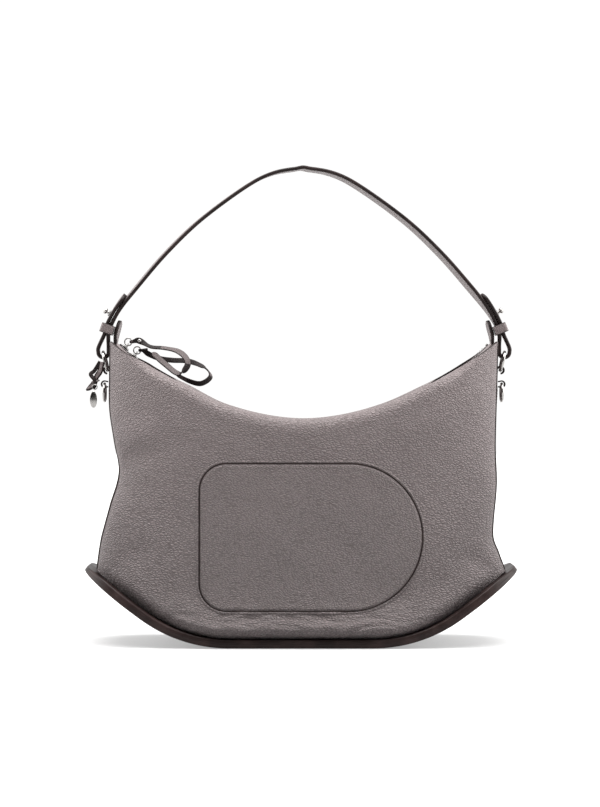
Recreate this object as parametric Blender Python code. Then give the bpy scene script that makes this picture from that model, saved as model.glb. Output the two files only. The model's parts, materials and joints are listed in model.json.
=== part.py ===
"""Hobo shoulder bag on a curved base plank, as an assembly of separate sub-parts.

Metres, +Z up, front of the bag towards -Y.  The origin is the centre of the
plank's flat underside, on the surface that the bag stands on.
"""

from math import asin, cos, pi, radians, sin, sqrt

import bpy
from mathutils import Vector

# ---------------------------------------------------------------- driving dimensions
GAP = 0.0004                # clearance kept between neighbouring solids

# base plank: a flat stretch, a tight arc, then a slow arc up to each tip
PLANK_HALF_LENGTH = 0.189
PLANK_HALF_DEPTH = 0.060
PLANK_THICKNESS = 0.0075
PLANK_CORNER = 0.046
FLAT_HALF_LENGTH = 0.061
BEND_RADIUS = 0.130
BEND_ANGLE = radians(36.0)
WING_RADIUS = 1.500
STIFFENER_HALF_LENGTH = 0.150
STIFFENER_HALF_DEPTH = 0.040
STIFFENER_CORNER = 0.030
STIFFENER_THICKNESS = 0.0020

# body shell
LEATHER = 0.0018
BASE_EDGE_X = 0.1765        # half width of the body where it meets the plank
TOP_EDGE_X = 0.1690         # half width of the body at its top corners
LEAN = 0.0025               # the top sits this far to the right of the base
CORNER_Z = 0.2625           # height of the top corners
SAG_Z = 0.1955              # height of the mouth's lowest point
SAG_POWER = 1.85
ROLL_RADIUS = 0.0085        # the mouth's rim rolls inwards with this radius
ROLL_TURN = radians(112.0)
ROLL_STRAIGHT = 0.0022
BACK_RISE = 0.0042          # near the left corner the back rim stands this much above the front one
BACK_RISE_RIGHT = 0.0015

# zip: its teeth run on one true arc, so that the sliders turn about its centre
ZIP_LOW_Z = 0.1900
ZIP_RADIUS = 0.2258
ZIP_PIVOT_Z = ZIP_LOW_Z + ZIP_RADIUS
ZIP_HALF_ANGLE = radians(46.4)
ZIP_TEETH_ANGLE = radians(45.6)
ZIP_STOP_ANGLE = radians(46.0)
ZIP_TEETH_HALF = 0.0028
ZIP_TAPE_HALF = 0.0085
SLIDER_A_ANGLE = radians(-44.8)
SLIDER_B_ANGLE = radians(-42.0)

# rings, tabs and handle
RING_RADIUS = 0.0084
RING_WIRE = 0.0014
RING_TILT = radians(13.0)
RING_X = 0.1745
RING_Z = 0.2462
LOWER_RING_RADIUS = 0.0076
LOWER_RING_WIRE = 0.0013
LOWER_LOOP_Z = 0.2305
STRAP_THICKNESS = 0.0032
STRAP_WIDTH = 0.0190
STRAP_LOOP_WIDTH = 0.0080
STRAP_SKEW = radians(12.0)
LOOP_RADIUS = 0.0045        # centre line of the strap's turn round the ring
TAIL_TIP_Z = 0.3045
KEEPER_Z = 0.2745
STUD_Z = 0.2865


# ---------------------------------------------------------------- small tools
def mix(a, b, f):
    return a + (b - a) * f


def smooth(f):
    f = min(1.0, max(0.0, f))
    return f * f * (3.0 - 2.0 * f)


def curve_through(knots, t):
    """Height of a smooth curve through (position, value) knots at position t."""
    t = min(knots[-1][0], max(knots[0][0], t))
    for k in range(len(knots) - 1):
        if t <= knots[k + 1][0]:
            break
    slopes = []
    for j in (k, k + 1):
        a = knots[max(0, j - 1)]
        b = knots[min(len(knots) - 1, j + 1)]
        slopes.append((b[1] - a[1]) / (b[0] - a[0]))
    span = knots[k + 1][0] - knots[k][0]
    f = (t - knots[k][0]) / span
    h = f * f * (3.0 - 2.0 * f)
    rise = f * (1.0 - f) * span
    return mix(knots[k][1], knots[k + 1][1], h) + rise * ((1.0 - f) * slopes[0] - f * slopes[1])


def spline(points, steps):
    """Points along a Catmull-Rom curve through 3-D points."""
    pts = [Vector(p) for p in points]
    ends = [2 * pts[0] - pts[1]] + pts + [2 * pts[-1] - pts[-2]]
    out = []
    for k in range(1, len(ends) - 2):
        a, b, c, d = ends[k - 1:k + 3]
        for s in range(steps):
            f = s / steps
            out.append(0.5 * (2 * b + (c - a) * f + (2 * a - 5 * b + 4 * c - d) * f * f
                              + (3 * b - a - 3 * c + d) * f ** 3))
    out.append(pts[-1])
    return out


def material(name, colour, roughness, metallic=0.0):
    mat = bpy.data.materials.get(name)
    if mat is None:
        mat = bpy.data.materials.new(name)
        mat.use_nodes = True
        shader = mat.node_tree.nodes["Principled BSDF"]
        shader.inputs["Base Color"].default_value = (*colour, 1.0)
        shader.inputs["Roughness"].default_value = roughness
        shader.inputs["Metallic"].default_value = metallic
    return mat


def leather():
    return material("grey_leather", (0.20, 0.175, 0.17), 0.55)


def dark_edge():
    return material("dark_edge", (0.022, 0.014, 0.013), 0.35)


def silver():
    return material("silver", (0.75, 0.74, 0.72), 0.22, 1.0)


def cloth():
    return material("lining_cloth", (0.09, 0.08, 0.075), 0.85)


def zip_black():
    return material("zip_black", (0.03, 0.028, 0.028), 0.6)


def add_object(name, verts, faces, mat, pivot=(0.0, 0.0, 0.0)):
    """A mesh object from world-space points, with its origin on the pivot."""
    origin = Vector(pivot)
    mesh = bpy.data.meshes.new(name)
    mesh.from_pydata([Vector(v) - origin for v in verts], [], faces)
    mesh.validate()
    mesh.materials.append(mat)
    mesh.shade_smooth()
    mesh.set_sharp_from_angle(angle=radians(40.0))
    obj = bpy.data.objects.new(name, mesh)
    obj.location = origin
    bpy.context.scene.collection.objects.link(obj)
    return obj


def shell(outer, inner):
    """Closed shell between two equal grids of points; the outer grid faces out."""
    rows = len(outer)
    cols = len(outer[0])
    verts = [p for row in outer for p in row] + [p for row in inner for p in row]
    half = rows * cols
    faces = []
    for r in range(rows - 1):
        for c in range(cols - 1):
            a = r * cols + c
            faces.append((a, a + 1, a + cols + 1, a + cols))
            faces.append((half + a, half + a + cols, half + a + cols + 1, half + a + 1))
    border = [(0, c) for c in range(cols)]
    border += [(r, cols - 1) for r in range(1, rows)]
    border += [(rows - 1, c) for c in range(cols - 2, -1, -1)]
    border += [(r, 0) for r in range(rows - 2, 0, -1)]
    for k, (r, c) in enumerate(border):
        r2, c2 = border[(k + 1) % len(border)]
        a = r * cols + c
        b = r2 * cols + c2
        faces.append((b, a, half + a, half + b))
    return verts, faces


def sweep(sections, closed=False):
    """Closed solid through rings of points; each ring runs the same way round."""
    count = len(sections)
    sides = len(sections[0])
    verts = [p for ring in sections for p in ring]
    faces = []
    for k in range(count if closed else count - 1):
        n = (k + 1) % count
        for j in range(sides):
            m = (j + 1) % sides
            faces.append((k * sides + j, k * sides + m, n * sides + m, n * sides + j))
    if not closed:
        faces.append(tuple(range(sides - 1, -1, -1)))
        last = (count - 1) * sides
        faces.append(tuple(range(last, last + sides)))
    return verts, faces


def ribbon(path, widths, thickness, across):
    """A strap: a flat section swept along path, its width along across."""
    sections = []
    for k, point in enumerate(path):
        ahead = path[min(k + 1, len(path) - 1)]
        behind = path[max(k - 1, 0)]
        along = (ahead - behind).normalized()
        side = across(k) if callable(across) else Vector(across)
        side = (side - along * side.dot(along)).normalized()
        up = along.cross(side)
        w = widths(k) if callable(widths) else widths
        half_w = side * (w / 2)
        half_t = up * (thickness / 2)
        sections.append([point - half_w - half_t, point + half_w - half_t,
                         point + half_w + half_t, point - half_w + half_t])
    return sweep(sections)


def torus(centre, axis, radius, wire, steps=20, sides=7):
    axis = Vector(axis).normalized()
    first = axis.orthogonal().normalized()
    second = axis.cross(first)
    sections = []
    for k in range(steps):
        turn = 2 * pi * k / steps
        out = first * cos(turn) + second * sin(turn)
        ring = []
        for j in range(sides):
            roll = 2 * pi * j / sides
            ring.append(Vector(centre) + out * (radius + wire * cos(roll)) + axis * wire * sin(roll))
        sections.append(ring)
    return sweep(sections, closed=True)


def turned(centre, axis, profile, sides=12):
    """Solid of revolution: profile lists (radius, distance along the axis)."""
    axis = Vector(axis).normalized()
    first = axis.orthogonal().normalized()
    second = axis.cross(first)
    sections = []
    for radius, along in profile:
        ring = []
        for j in range(sides):
            turn = 2 * pi * j / sides
            out = first * cos(turn) + second * sin(turn)
            ring.append(Vector(centre) + axis * along + out * radius)
        sections.append(ring)
    return sweep(sections)


def outward(verts, faces):
    """The same solid with its faces pointing out, whichever way it was wound."""
    volume = 0.0
    for face in faces:
        a = Vector(verts[face[0]])
        for k in range(1, len(face) - 1):
            volume += a.dot(Vector(verts[face[k]]).cross(Vector(verts[face[k + 1]])))
    if volume < 0:
        faces = [tuple(reversed(face)) for face in faces]
    return verts, faces


def solid(name, shape, mat, pivot=(0.0, 0.0, 0.0)):
    verts, faces = outward(*shape)
    return add_object(name, verts, faces, mat, pivot)


# ---------------------------------------------------------------- base plank
def plank_height(x, lift):
    """Height of the surface that lies lift above the plank's underside."""
    x = abs(x)
    bend = BEND_RADIUS - lift
    if x <= FLAT_HALF_LENGTH:
        return lift
    if x - FLAT_HALF_LENGTH <= bend * sin(BEND_ANGLE):
        return BEND_RADIUS - sqrt(bend ** 2 - (x - FLAT_HALF_LENGTH) ** 2)
    centre_x = FLAT_HALF_LENGTH + (BEND_RADIUS - WING_RADIUS) * sin(BEND_ANGLE)
    centre_z = BEND_RADIUS + (WING_RADIUS - BEND_RADIUS) * cos(BEND_ANGLE)
    return centre_z - sqrt((WING_RADIUS - lift) ** 2 - (x - centre_x) ** 2)


def plank_slope(x):
    """Angle of the plank's underside at x, positive where it rises to the right."""
    sign = 1.0 if x > 0 else -1.0
    x = abs(x)
    if x <= FLAT_HALF_LENGTH:
        return 0.0
    if x - FLAT_HALF_LENGTH <= BEND_RADIUS * sin(BEND_ANGLE):
        return sign * asin((x - FLAT_HALF_LENGTH) / BEND_RADIUS)
    centre_x = FLAT_HALF_LENGTH + (BEND_RADIUS - WING_RADIUS) * sin(BEND_ANGLE)
    return sign * asin((x - centre_x) / WING_RADIUS)


def plank_half_depth(x, half_length, half_depth, corner):
    """Half depth of a rounded-corner board at x."""
    into = abs(x) - (half_length - corner)
    if into <= 0:
        return half_depth
    return half_depth - corner + sqrt(max(0.0, corner ** 2 - into ** 2))


def curved_board(half_length, half_depth, corner, low, high, stations, soften):
    """A board bent along the plank's curve, between two lifts above its underside."""
    sections = []
    for k in range(stations + 1):
        x = half_length * 0.9995 * sin(pi / 2 * (2 * k / stations - 1))
        angle = plank_slope(x)
        depth = plank_half_depth(x, half_length, half_depth, corner)
        bottom = Vector((x, 0.0, plank_height(x, 0.0)))
        normal = Vector((-sin(angle), 0.0, cos(angle)))
        ring = []
        for y, lift in ((-depth + soften, low), (-depth, low + soften), (-depth, high - soften),
                        (-depth + soften, high), (depth - soften, high), (depth, high - soften),
                        (depth, low + soften), (depth - soften, low)):
            ring.append(bottom + normal * lift + Vector((0.0, y, 0.0)))
        sections.append(ring)
    return sweep(sections)


def build_base():
    solid("base_plank", curved_board(PLANK_HALF_LENGTH, PLANK_HALF_DEPTH, PLANK_CORNER,
                                     0.0, PLANK_THICKNESS, 36, 0.0012), dark_edge())
    low = PLANK_THICKNESS + GAP
    high = low + STIFFENER_THICKNESS
    solid("base_stiffener", curved_board(STIFFENER_HALF_LENGTH, STIFFENER_HALF_DEPTH, STIFFENER_CORNER,
                                         low, high, 20, 0.0006),
          material("board", (0.12, 0.09, 0.06), 0.8))


# ---------------------------------------------------------------- body shell
# each line below lists (share of the height, value) knots of a smooth curve
LEFT_EDGE = ((0.0, BASE_EDGE_X), (0.14, 0.1725), (0.32, 0.1645), (0.49, 0.1570),
             (0.60, 0.1615), (0.72, 0.1660), (0.86, 0.1665), (1.0, TOP_EDGE_X - LEAN))
RIGHT_EDGE = ((0.0, BASE_EDGE_X), (0.10, 0.1705), (0.20, 0.1652), (0.40, 0.1685),
              (0.57, 0.1680), (0.80, 0.1700), (1.0, TOP_EDGE_X + LEAN))
SIDE_DEPTH = ((0.0, 0.030), (0.25, 0.034), (0.55, 0.027), (0.80, 0.0175), (1.0, 0.0125))
MIDDLE_DEPTH = ((0.0, 0.0550), (0.05, 0.0630), (0.11, 0.0625), (0.18, 0.0602), (0.35, 0.0594),
                (0.55, 0.0586), (0.80, 0.0588), (1.0, 0.0592))
GUSSET_BULGE = ((0.0, 0.001), (0.2, 0.003), (0.5, -0.004), (0.8, -0.002), (1.0, 0.0005))


def mouth_height(x, side=-1):
    out = abs(x - LEAN) / TOP_EDGE_X
    rise = BACK_RISE_RIGHT if x > LEAN else BACK_RISE
    rise *= smooth((out - 0.42) / 0.2) * smooth((1.03 - out) / 0.14) if side > 0 else 0.0
    return SAG_Z + (CORNER_Z - SAG_Z) * min(1.2, out) ** SAG_POWER + rise


def crown(u):
    return max(0.0, 1.0 - abs(u) ** 3) ** 0.55


def roll_turn(u):
    """How far the rim turns inwards: fully in the middle, not at all at the corners."""
    return ROLL_TURN * smooth((1.0 - abs(u)) / 0.42)


def roll_path(u, steps):
    """Steps (inwards, up) of the rim, from the top of the wall to the panel's edge."""
    turn = roll_turn(u)
    length = ROLL_STRAIGHT + ROLL_RADIUS * turn + 0.011 * turn / ROLL_TURN
    inward, up = 0.0, 0.0
    path = [(0.0, 0.0)]
    fine = 8
    for k in range(steps * fine):
        share = (k + 0.5) / (steps * fine)
        angle = turn * smooth(share * 1.25)
        inward += length / (steps * fine) * sin(angle)
        up += length / (steps * fine) * cos(angle)
        if (k + 1) % fine == 0:
            path.append((inward, up))
    return path


def wall_top(x, u, side=-1):
    """Height where the wall ends and its rim starts to roll."""
    return mouth_height(x, side) - max(up for _, up in roll_path(u, 6))


def edge_x(t):
    return -curve_through(LEFT_EDGE, t), curve_through(RIGHT_EDGE, t)


def wall_point(side, u, t, inset=0.0, lift=GAP):
    """A point of the front (side -1) or back (side 1) wall, t from base to rim."""
    left, right = edge_x(t)
    x = mix(left + inset, right - inset, (u + 1) / 2)
    low = plank_height(x, PLANK_THICKNESS) + lift
    z = mix(low, wall_top(x, u, side), t)
    g = curve_through(SIDE_DEPTH, t)
    m = curve_through(MIDDLE_DEPTH, t)
    y = g + (m - g - inset) * crown(u)
    return Vector((x, side * y, z))


def across_values(count):
    """Positions across a wall, closer together towards its edges."""
    return [sin(pi / 2 * (2 * k / count - 1)) for k in range(count + 1)]


def normals(grid):
    out = []
    for r, row in enumerate(grid):
        line = []
        for c in range(len(row)):
            du = row[min(c + 1, len(row) - 1)] - row[max(c - 1, 0)]
            dv = grid[min(r + 1, len(grid) - 1)][c] - grid[max(r - 1, 0)][c]
            line.append(du.cross(dv).normalized())
        out.append(line)
    return out


def wall_grid(side, columns, rows, rim_steps):
    """Outer face of a wall with its rim, from the base up."""
    us = across_values(columns)
    grid = [[wall_point(side, u, k / rows) for u in us] for k in range(rows + 1)]
    rims = [roll_path(u, rim_steps) for u in us]
    for k in range(1, rim_steps + 1):
        row = []
        for c in range(len(us)):
            inward, up = rims[c][k]
            row.append(grid[rows][c] + Vector((0.0, -side * inward, up)))
        grid.append(row)
    return grid


def build_wall(name, side):
    outer = wall_grid(side, 22, 12, 6)
    if side > 0:
        outer = [list(reversed(row)) for row in outer]
    inner = []
    for row, line in zip(outer, normals(outer)):
        points = []
        for c, (point, normal) in enumerate(zip(row, line)):
            if c in (0, len(row) - 1):
                normal = Vector((normal.x, 0.0, 0.0)).normalized()
            points.append(point - normal * LEATHER)
        inner.append(points)
    for k in range(len(outer[0])):
        inner[0][k].z = outer[0][k].z + 0.0001
    solid(name, shell(outer, inner), leather())


def gusset_point(end, w, t, inset=0.0):
    """A point of the left (end -1) or right (end 1) side panel."""
    left, right = edge_x(t)
    edge = right if end > 0 else left
    g = curve_through(SIDE_DEPTH, t) - GAP
    x = edge + end * (curve_through(GUSSET_BULGE, t) * (1.0 - w * w) - inset)
    low = plank_height(edge, PLANK_THICKNESS) + GAP
    z = mix(low, wall_top(edge, 1.0), t)
    if t == 0.0:
        z = plank_height(x, PLANK_THICKNESS) + GAP
    return Vector((x, w * g, z))


def build_gusset(name, end):
    rows = [k / 12 for k in range(13)]
    ws = [-1.0, -0.5, 0.0, 0.5, 1.0]
    if end < 0:
        ws.reverse()
    outer = [[gusset_point(end, w, t) for w in ws] for t in rows]
    inner = [[gusset_point(end, w, t, LEATHER) for w in ws] for t in rows]
    solid(name, shell(outer, inner), leather())


# ---------------------------------------------------------------- inlaid front panel
INLAY_LEFT = -0.0865
INLAY_RIGHT = 0.1035
INLAY_LOW = 0.0325
INLAY_HIGH = 0.1575
INLAY_CORNER = 0.023
INLAY_THICKNESS = 0.0010


def front_surface(x, z, lift):
    """A point on the front wall's outer face at x and z, raised by lift."""
    t = 0.5
    u = 0.0
    for _ in range(4):
        left, right = edge_x(t)
        u = 2 * (x - left) / (right - left) - 1
        low = plank_height(x, PLANK_THICKNESS) + GAP
        t = (z - low) / (wall_top(x, u) - low)
    g = curve_through(SIDE_DEPTH, t)
    m = curve_through(MIDDLE_DEPTH, t)
    return Vector((x, -(g + (m - g) * crown(u)) - lift, z))


def inlay_span(share):
    """Lowest and highest z of the inlaid panel at a share of its width."""
    x = mix(INLAY_LEFT, INLAY_RIGHT, share)
    half = (INLAY_HIGH - INLAY_LOW) / 2
    middle = (INLAY_HIGH + INLAY_LOW) / 2
    if x < INLAY_LEFT + INLAY_CORNER:
        into = INLAY_LEFT + INLAY_CORNER - x
        reach = half - INLAY_CORNER + sqrt(max(0.0, INLAY_CORNER ** 2 - into ** 2))
    elif x > INLAY_RIGHT - half:
        into = x - (INLAY_RIGHT - half)
        reach = sqrt(max(0.0, half ** 2 - into ** 2))
    else:
        reach = half
    return x, middle - reach, middle + reach


def build_inlay():
    columns = 20
    rows = 8
    outer = []
    inner = []
    for r in range(rows + 1):
        lift_row = []
        base_row = []
        for c in range(columns + 1):
            share = (1 - cos(pi * c / columns)) / 2
            share = mix(0.0006, 0.9994, share)
            x, low, high = inlay_span(share)
            z = mix(low, high, r / rows)
            lift_row.append(front_surface(x, z, GAP + 0.0002 + INLAY_THICKNESS))
            base_row.append(front_surface(x, z, GAP + 0.0002))
        outer.append(lift_row)
        inner.append(base_row)
    solid("front_inlay_panel", shell(outer, inner), leather())


# ---------------------------------------------------------------- lining and pocket
LINING_INSET = 0.0042
LINING_THICKNESS = 0.0008
LINING_FLOOR = 0.0036
LINING_TOP = 0.94


def lining_loop(t, inset, floor):
    """One closed loop of the lining, anticlockwise from above."""
    us = across_values(16)
    loop = [wall_point(-1, u * 0.975, t, inset, floor) for u in us]
    for w in (-0.4, 0.4):
        loop.append(gusset_point(1, w * 0.8, t, inset + 0.001))
    loop += [wall_point(1, u * 0.975, t, inset, floor) for u in reversed(us)]
    for w in (0.4, -0.4):
        loop.append(gusset_point(-1, w * 0.8, t, inset + 0.001))
    low = [plank_height(p.x, PLANK_THICKNESS) + floor for p in loop]
    for p, z in zip(loop, low):
        p.z = max(p.z, z)
    return loop


def build_lining():
    levels = [0.0, 0.06, 0.18, 0.34, 0.5, 0.66, 0.82, LINING_TOP]
    outer = [lining_loop(t, LINING_INSET, LINING_FLOOR) for t in levels]
    inner = [lining_loop(t, LINING_INSET + LINING_THICKNESS, LINING_FLOOR + LINING_THICKNESS)
             for t in levels]
    size = len(outer[0])
    verts = [p for loop in outer for p in loop] + [p for loop in inner for p in loop]
    half = size * len(levels)
    faces = []
    for k in range(len(levels) - 1):
        for j in range(size):
            a = k * size + j
            b = k * size + (j + 1) % size
            faces.append((a, b, b + size, a + size))
            faces.append((half + b, half + a, half + a + size, half + b + size))
    top = (len(levels) - 1) * size
    for j in range(size):
        a = top + j
        b = top + (j + 1) % size
        faces.append((a, b, half + b, half + a))
    front = 17
    for base, flip in ((0, False), (half, True)):
        strips = []
        for j in range(front - 1):
            back = size - 3 - j
            strips.append((base + j, base + back, base + back - 1, base + j + 1))
        strips.append((base + front - 1, base + front + 2, base + front + 1, base + front))
        strips.append((base + 0, base + size - 1, base + size - 2, base + size - 3))
        faces += [tuple(reversed(s)) if flip else s for s in strips]
    solid("lining", (verts, faces), cloth())


def build_inner_pocket():
    """A flat slip pocket sewn to the back of the lining."""
    inset = LINING_INSET + LINING_THICKNESS + 0.0006
    outer = []
    inner = []
    for r in range(6):
        t = mix(0.30, 0.78, r / 5)
        outer.append([wall_point(1, u, t, inset, LINING_FLOOR) for u in (0.45, 0.2, 0.0, -0.2, -0.45)])
        inner.append([wall_point(1, u, t, inset + 0.0009, LINING_FLOOR)
                      for u in (0.45, 0.2, 0.0, -0.2, -0.45)])
    solid("inner_pocket", shell(outer, inner), cloth())


# ---------------------------------------------------------------- zip
def zip_point(angle, y, rise):
    """A point beside the zip's arc, rise above the teeth towards the arc's centre."""
    radius = ZIP_RADIUS - rise
    return Vector((LEAN + radius * sin(angle), y, ZIP_PIVOT_Z - radius * cos(angle)))


def zip_angles(count, half=ZIP_HALF_ANGLE):
    return [mix(-half, half, k / count) for k in range(count + 1)]


def zip_strip(name, y_in, y_out, low, high, mat, count=24, half=ZIP_HALF_ANGLE):
    """A strip along the zip between two distances from its middle."""
    sections = []
    for angle in zip_angles(count, half):
        sections.append([zip_point(angle, y_in, low), zip_point(angle, y_out, low),
                         zip_point(angle, y_out, high), zip_point(angle, y_in, high)])
    solid(name, sweep(sections), mat)


def rim_end(side, x):
    """Where the wall's rim ends, on the zip side, at x."""
    left, right = edge_x(1.0)
    u = 2 * (x - left) / (right - left) - 1
    base = wall_point(side, u, 1.0)
    inward, up = roll_path(u, 6)[-1]
    return base + Vector((0.0, -side * inward, up))


def build_zip_band(name, side):
    """Leather band from the rim's edge down to the zip tape."""
    sections = []
    for angle in zip_angles(26, ZIP_HALF_ANGLE):
        low_point = zip_point(angle, side * (ZIP_TAPE_HALF + GAP), 0.0010)
        rim = rim_end(side, low_point.x)
        reach = abs(rim.y) - LEATHER - 0.0018
        outer_y = side * max(ZIP_TAPE_HALF + 0.0016, reach)
        outer_z = max(low_point.z - 0.001, rim.z - 0.0030)
        sections.append([low_point, Vector((low_point.x, outer_y, outer_z)),
                         Vector((low_point.x, outer_y, outer_z + 0.0014)),
                         low_point + Vector((0.0, 0.0, 0.0014))])
    solid(name, sweep(sections), leather())


def frame_at(angle):
    """Unit vectors along and up at a place on the zip."""
    along = Vector((cos(angle), 0.0, sin(angle)))
    up = Vector((-sin(angle), 0.0, cos(angle)))
    return along, up


ZIP_PIVOT = (LEAN, 0.0, ZIP_PIVOT_Z)
SLIDER_HALF_LENGTH = 0.0034
SLIDER_HALF_WIDTH = 0.0042
SLIDER_THROAT_HALF = 0.0033
SLIDER_TOP = 0.0046
EYE_RISE = 0.0062           # middle of the eye's hole above the teeth
EYE_RADIUS = 0.0019
EYE_WIRE = 0.0005
PULL_RING_RADIUS = 0.0032
PULL_RING_WIRE = 0.00055
PULL_STANDS = Vector((0.10, 0.0, 1.0)).normalized()


def eye_centre(angle):
    return zip_point(angle, 0.0, 0.0) + frame_at(angle)[1] * EYE_RISE


def pull_centre(angle):
    return eye_centre(angle) + PULL_STANDS * PULL_RING_RADIUS


def joined(obj, tool):
    """Boolean union of a helper object into obj."""
    cut = obj.modifiers.new("join", "BOOLEAN")
    cut.operation = "UNION"
    cut.object = tool
    tool.hide_render = True
    tool.display_type = "WIRE"


def build_slider(name, angle):
    """A slider: plate over the teeth, two cheeks beside them and a wire eye on top."""
    along, up = frame_at(angle)
    inner = SLIDER_THROAT_HALF
    profile = [(-SLIDER_HALF_WIDTH, 0.0024), (-inner, 0.0024), (-inner, 0.0030),
               (inner, 0.0030), (inner, 0.0024), (SLIDER_HALF_WIDTH, 0.0024),
               (SLIDER_HALF_WIDTH, 0.0042), (0.0010, SLIDER_TOP), (-0.0010, SLIDER_TOP),
               (-SLIDER_HALF_WIDTH, 0.0042)]
    sections = []
    for along_by, narrow in ((-1.0, 0.88), (-0.5, 1.0), (0.5, 1.0), (1.0, 0.88)):
        middle = zip_point(angle, 0.0, 0.0) + along * (SLIDER_HALF_LENGTH * along_by)
        ring = []
        for y, h in profile:
            side = y * narrow if abs(y) == SLIDER_HALF_WIDTH else y
            ring.append(middle + Vector((0.0, side, 0.0)) + up * h)
        sections.append(ring)
    slider = solid(name, sweep(sections), silver(), ZIP_PIVOT)
    eye = eye_centre(angle)
    route = [eye + Vector((0.0, -EYE_RADIUS, 0.0)) - up * 0.0020]
    for k in range(9):
        turn = pi * k / 8
        route.append(eye + Vector((0.0, -EYE_RADIUS * cos(turn), 0.0)) + PULL_STANDS * EYE_RADIUS * sin(turn))
    route.append(eye + Vector((0.0, EYE_RADIUS, 0.0)) - up * 0.0020)
    wire = ribbon(route, 2 * EYE_WIRE, 2 * EYE_WIRE, along)
    joined(slider, solid(name + "_eye", wire, silver(), ZIP_PIVOT))


def lace_fold(centre):
    """Start of a lace: its short end, then the turn round the far side of the pull ring's wire."""
    hold = centre + Vector((PULL_RING_RADIUS, 0.0, 0.0))
    path = [hold + Vector((0.0060, LACE_TURN, 0.0008)), hold + Vector((0.0030, LACE_TURN, 0.0004))]
    for k in range(7):
        turn = radians(mix(90.0, 270.0, k / 6))
        path.append(hold + Vector((cos(turn), sin(turn), 0.0)) * LACE_TURN)
    return path


def build_pull(letter, angle, lace_route, lace_width):
    """A wire ring standing in the slider's eye and a leather lace folded through it."""
    centre = pull_centre(angle)
    solid("pull_ring_" + letter, torus(centre, (0.0, 1.0, 0.0), PULL_RING_RADIUS, PULL_RING_WIRE, 18, 6),
          silver(), centre)
    path = lace_fold(centre) + spline(lace_route, 5)
    turn = len(path) - 5 * (len(lace_route) - 1)

    def across(k):
        share = k / (len(path) - 1)
        free = Vector((0.15, sin(2.6 * share * pi) * 0.55 + 0.35, 1.0))
        return Vector((0.0, 0.0, 1.0)).lerp(free, smooth((k - turn) / 6))

    def width(k):
        return mix(LACE_FOLD_WIDTH, lace_width, smooth((k - turn) / 5))

    mat = leather() if letter == "a" else dark_edge()
    solid("pull_lace_" + letter, ribbon(path, width, LACE_THICKNESS, across), mat, centre)


LACE_THICKNESS = 0.0012
LACE_FOLD_WIDTH = 0.0026
LACE_TURN = 0.0016          # centre line of the lace's turn round the ring's wire
LACE_A = ((-0.1462, -0.0016, 0.2640), (-0.1418, -0.0024, 0.2640), (-0.1318, -0.0060, 0.2588),
          (-0.1200, -0.0095, 0.2575), (-0.1080, -0.0140, 0.2548), (-0.1003, -0.0185, 0.2487),
          (-0.0990, -0.0215, 0.2415), (-0.1065, -0.0225, 0.2350), (-0.1180, -0.0180, 0.2430),
          (-0.1300, -0.0125, 0.2535))
LACE_B = ((-0.1382, -0.0016, 0.2552), (-0.1330, -0.0016, 0.2520), (-0.1240, 0.0005, 0.2485),
          (-0.1130, -0.0015, 0.2470), (-0.0980, -0.0050, 0.2460), (-0.0840, -0.0100, 0.2400),
          (-0.0790, -0.0140, 0.2325), (-0.0870, -0.0165, 0.2265), (-0.0975, -0.0130, 0.2285),
          (-0.1095, -0.0080, 0.2345))


def build_zip():
    for side, word in ((-1, "front"), (1, "back")):
        build_zip_band("zip_band_" + word, side)
        zip_strip("zip_tape_" + word, side * 0.0004, side * ZIP_TAPE_HALF, -0.0002, 0.0006, zip_black())
        zip_strip("zip_teeth_" + word, side * 0.0004, side * ZIP_TEETH_HALF, 0.0010, 0.0021,
                  silver(), 24, ZIP_TEETH_ANGLE)
    for end, word in ((-1, "left"), (1, "right")):
        angle = end * ZIP_STOP_ANGLE
        along, up = frame_at(angle)
        middle = zip_point(angle, 0.0, 0.0)
        sections = [[middle + along * a + Vector((0.0, y, 0.0)) + up * h
                     for y, h in ((-0.0032, 0.0010), (0.0032, 0.0010), (0.0032, 0.0030), (-0.0032, 0.0030))]
                    for a in (-0.0010, 0.0010)]
        solid("zip_stop_" + word, sweep(sections), silver())
    build_slider("zip_slider_a", SLIDER_A_ANGLE)
    build_slider("zip_slider_b", SLIDER_B_ANGLE)
    build_pull("a", SLIDER_A_ANGLE, LACE_A, 0.0056)
    build_pull("b", SLIDER_B_ANGLE, LACE_B, 0.0048)
    head = Vector(LACE_A[1]) + Vector((0.0, -0.0021, 0.0))
    profile = ((0.0016, 0.0), (0.0016, 0.0012), (0.0008, 0.0018))
    solid("pull_pin_a", turned(head, (0.0, -1.0, 0.0), profile, 10), silver(), pull_centre(SLIDER_A_ANGLE))


# ---------------------------------------------------------------- ends: ears, tabs, rings
EAR_WIDTH = 0.0135
EAR_THICKNESS = 0.0030
EAR_TWIST = radians(8.0)


def build_ear(name, end):
    """Leather tab that stands up from the zip's end at each corner."""
    top = edge_x(1.0)[1 if end > 0 else 0]
    base = Vector((top - end * 0.0033, 0.0, CORNER_Z - 0.0020))
    route = [base, base + Vector((-end * 0.0007, 0.0, 0.0075)),
             base + Vector((-end * 0.0026, 0.0, 0.0150)), base + Vector((-end * 0.0042, 0.0, 0.0215))]
    path = spline(route, 3)
    last = len(path) - 1

    def width(k):
        from_tip = last - k
        return EAR_WIDTH * ((0.37, 0.67, 0.85)[from_tip] if from_tip < 3 else 1.0)


    def across(k):
        return Vector((-end * sin(EAR_TWIST * smooth(2 * k / last)), cos(EAR_TWIST), 0.0))

    solid(name, ribbon(path, width, EAR_THICKNESS, across), leather())


def ring_centre(end):
    return Vector((end * RING_X + LEAN, 0.0, RING_Z))


def ring_axis(end):
    return Vector((cos(RING_TILT), 0.0, end * -sin(RING_TILT)))


def ring_down(end):
    """Unit vector from the ring's centre to its lowest point."""
    return Vector((-end * sin(RING_TILT), 0.0, -cos(RING_TILT)))


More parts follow.
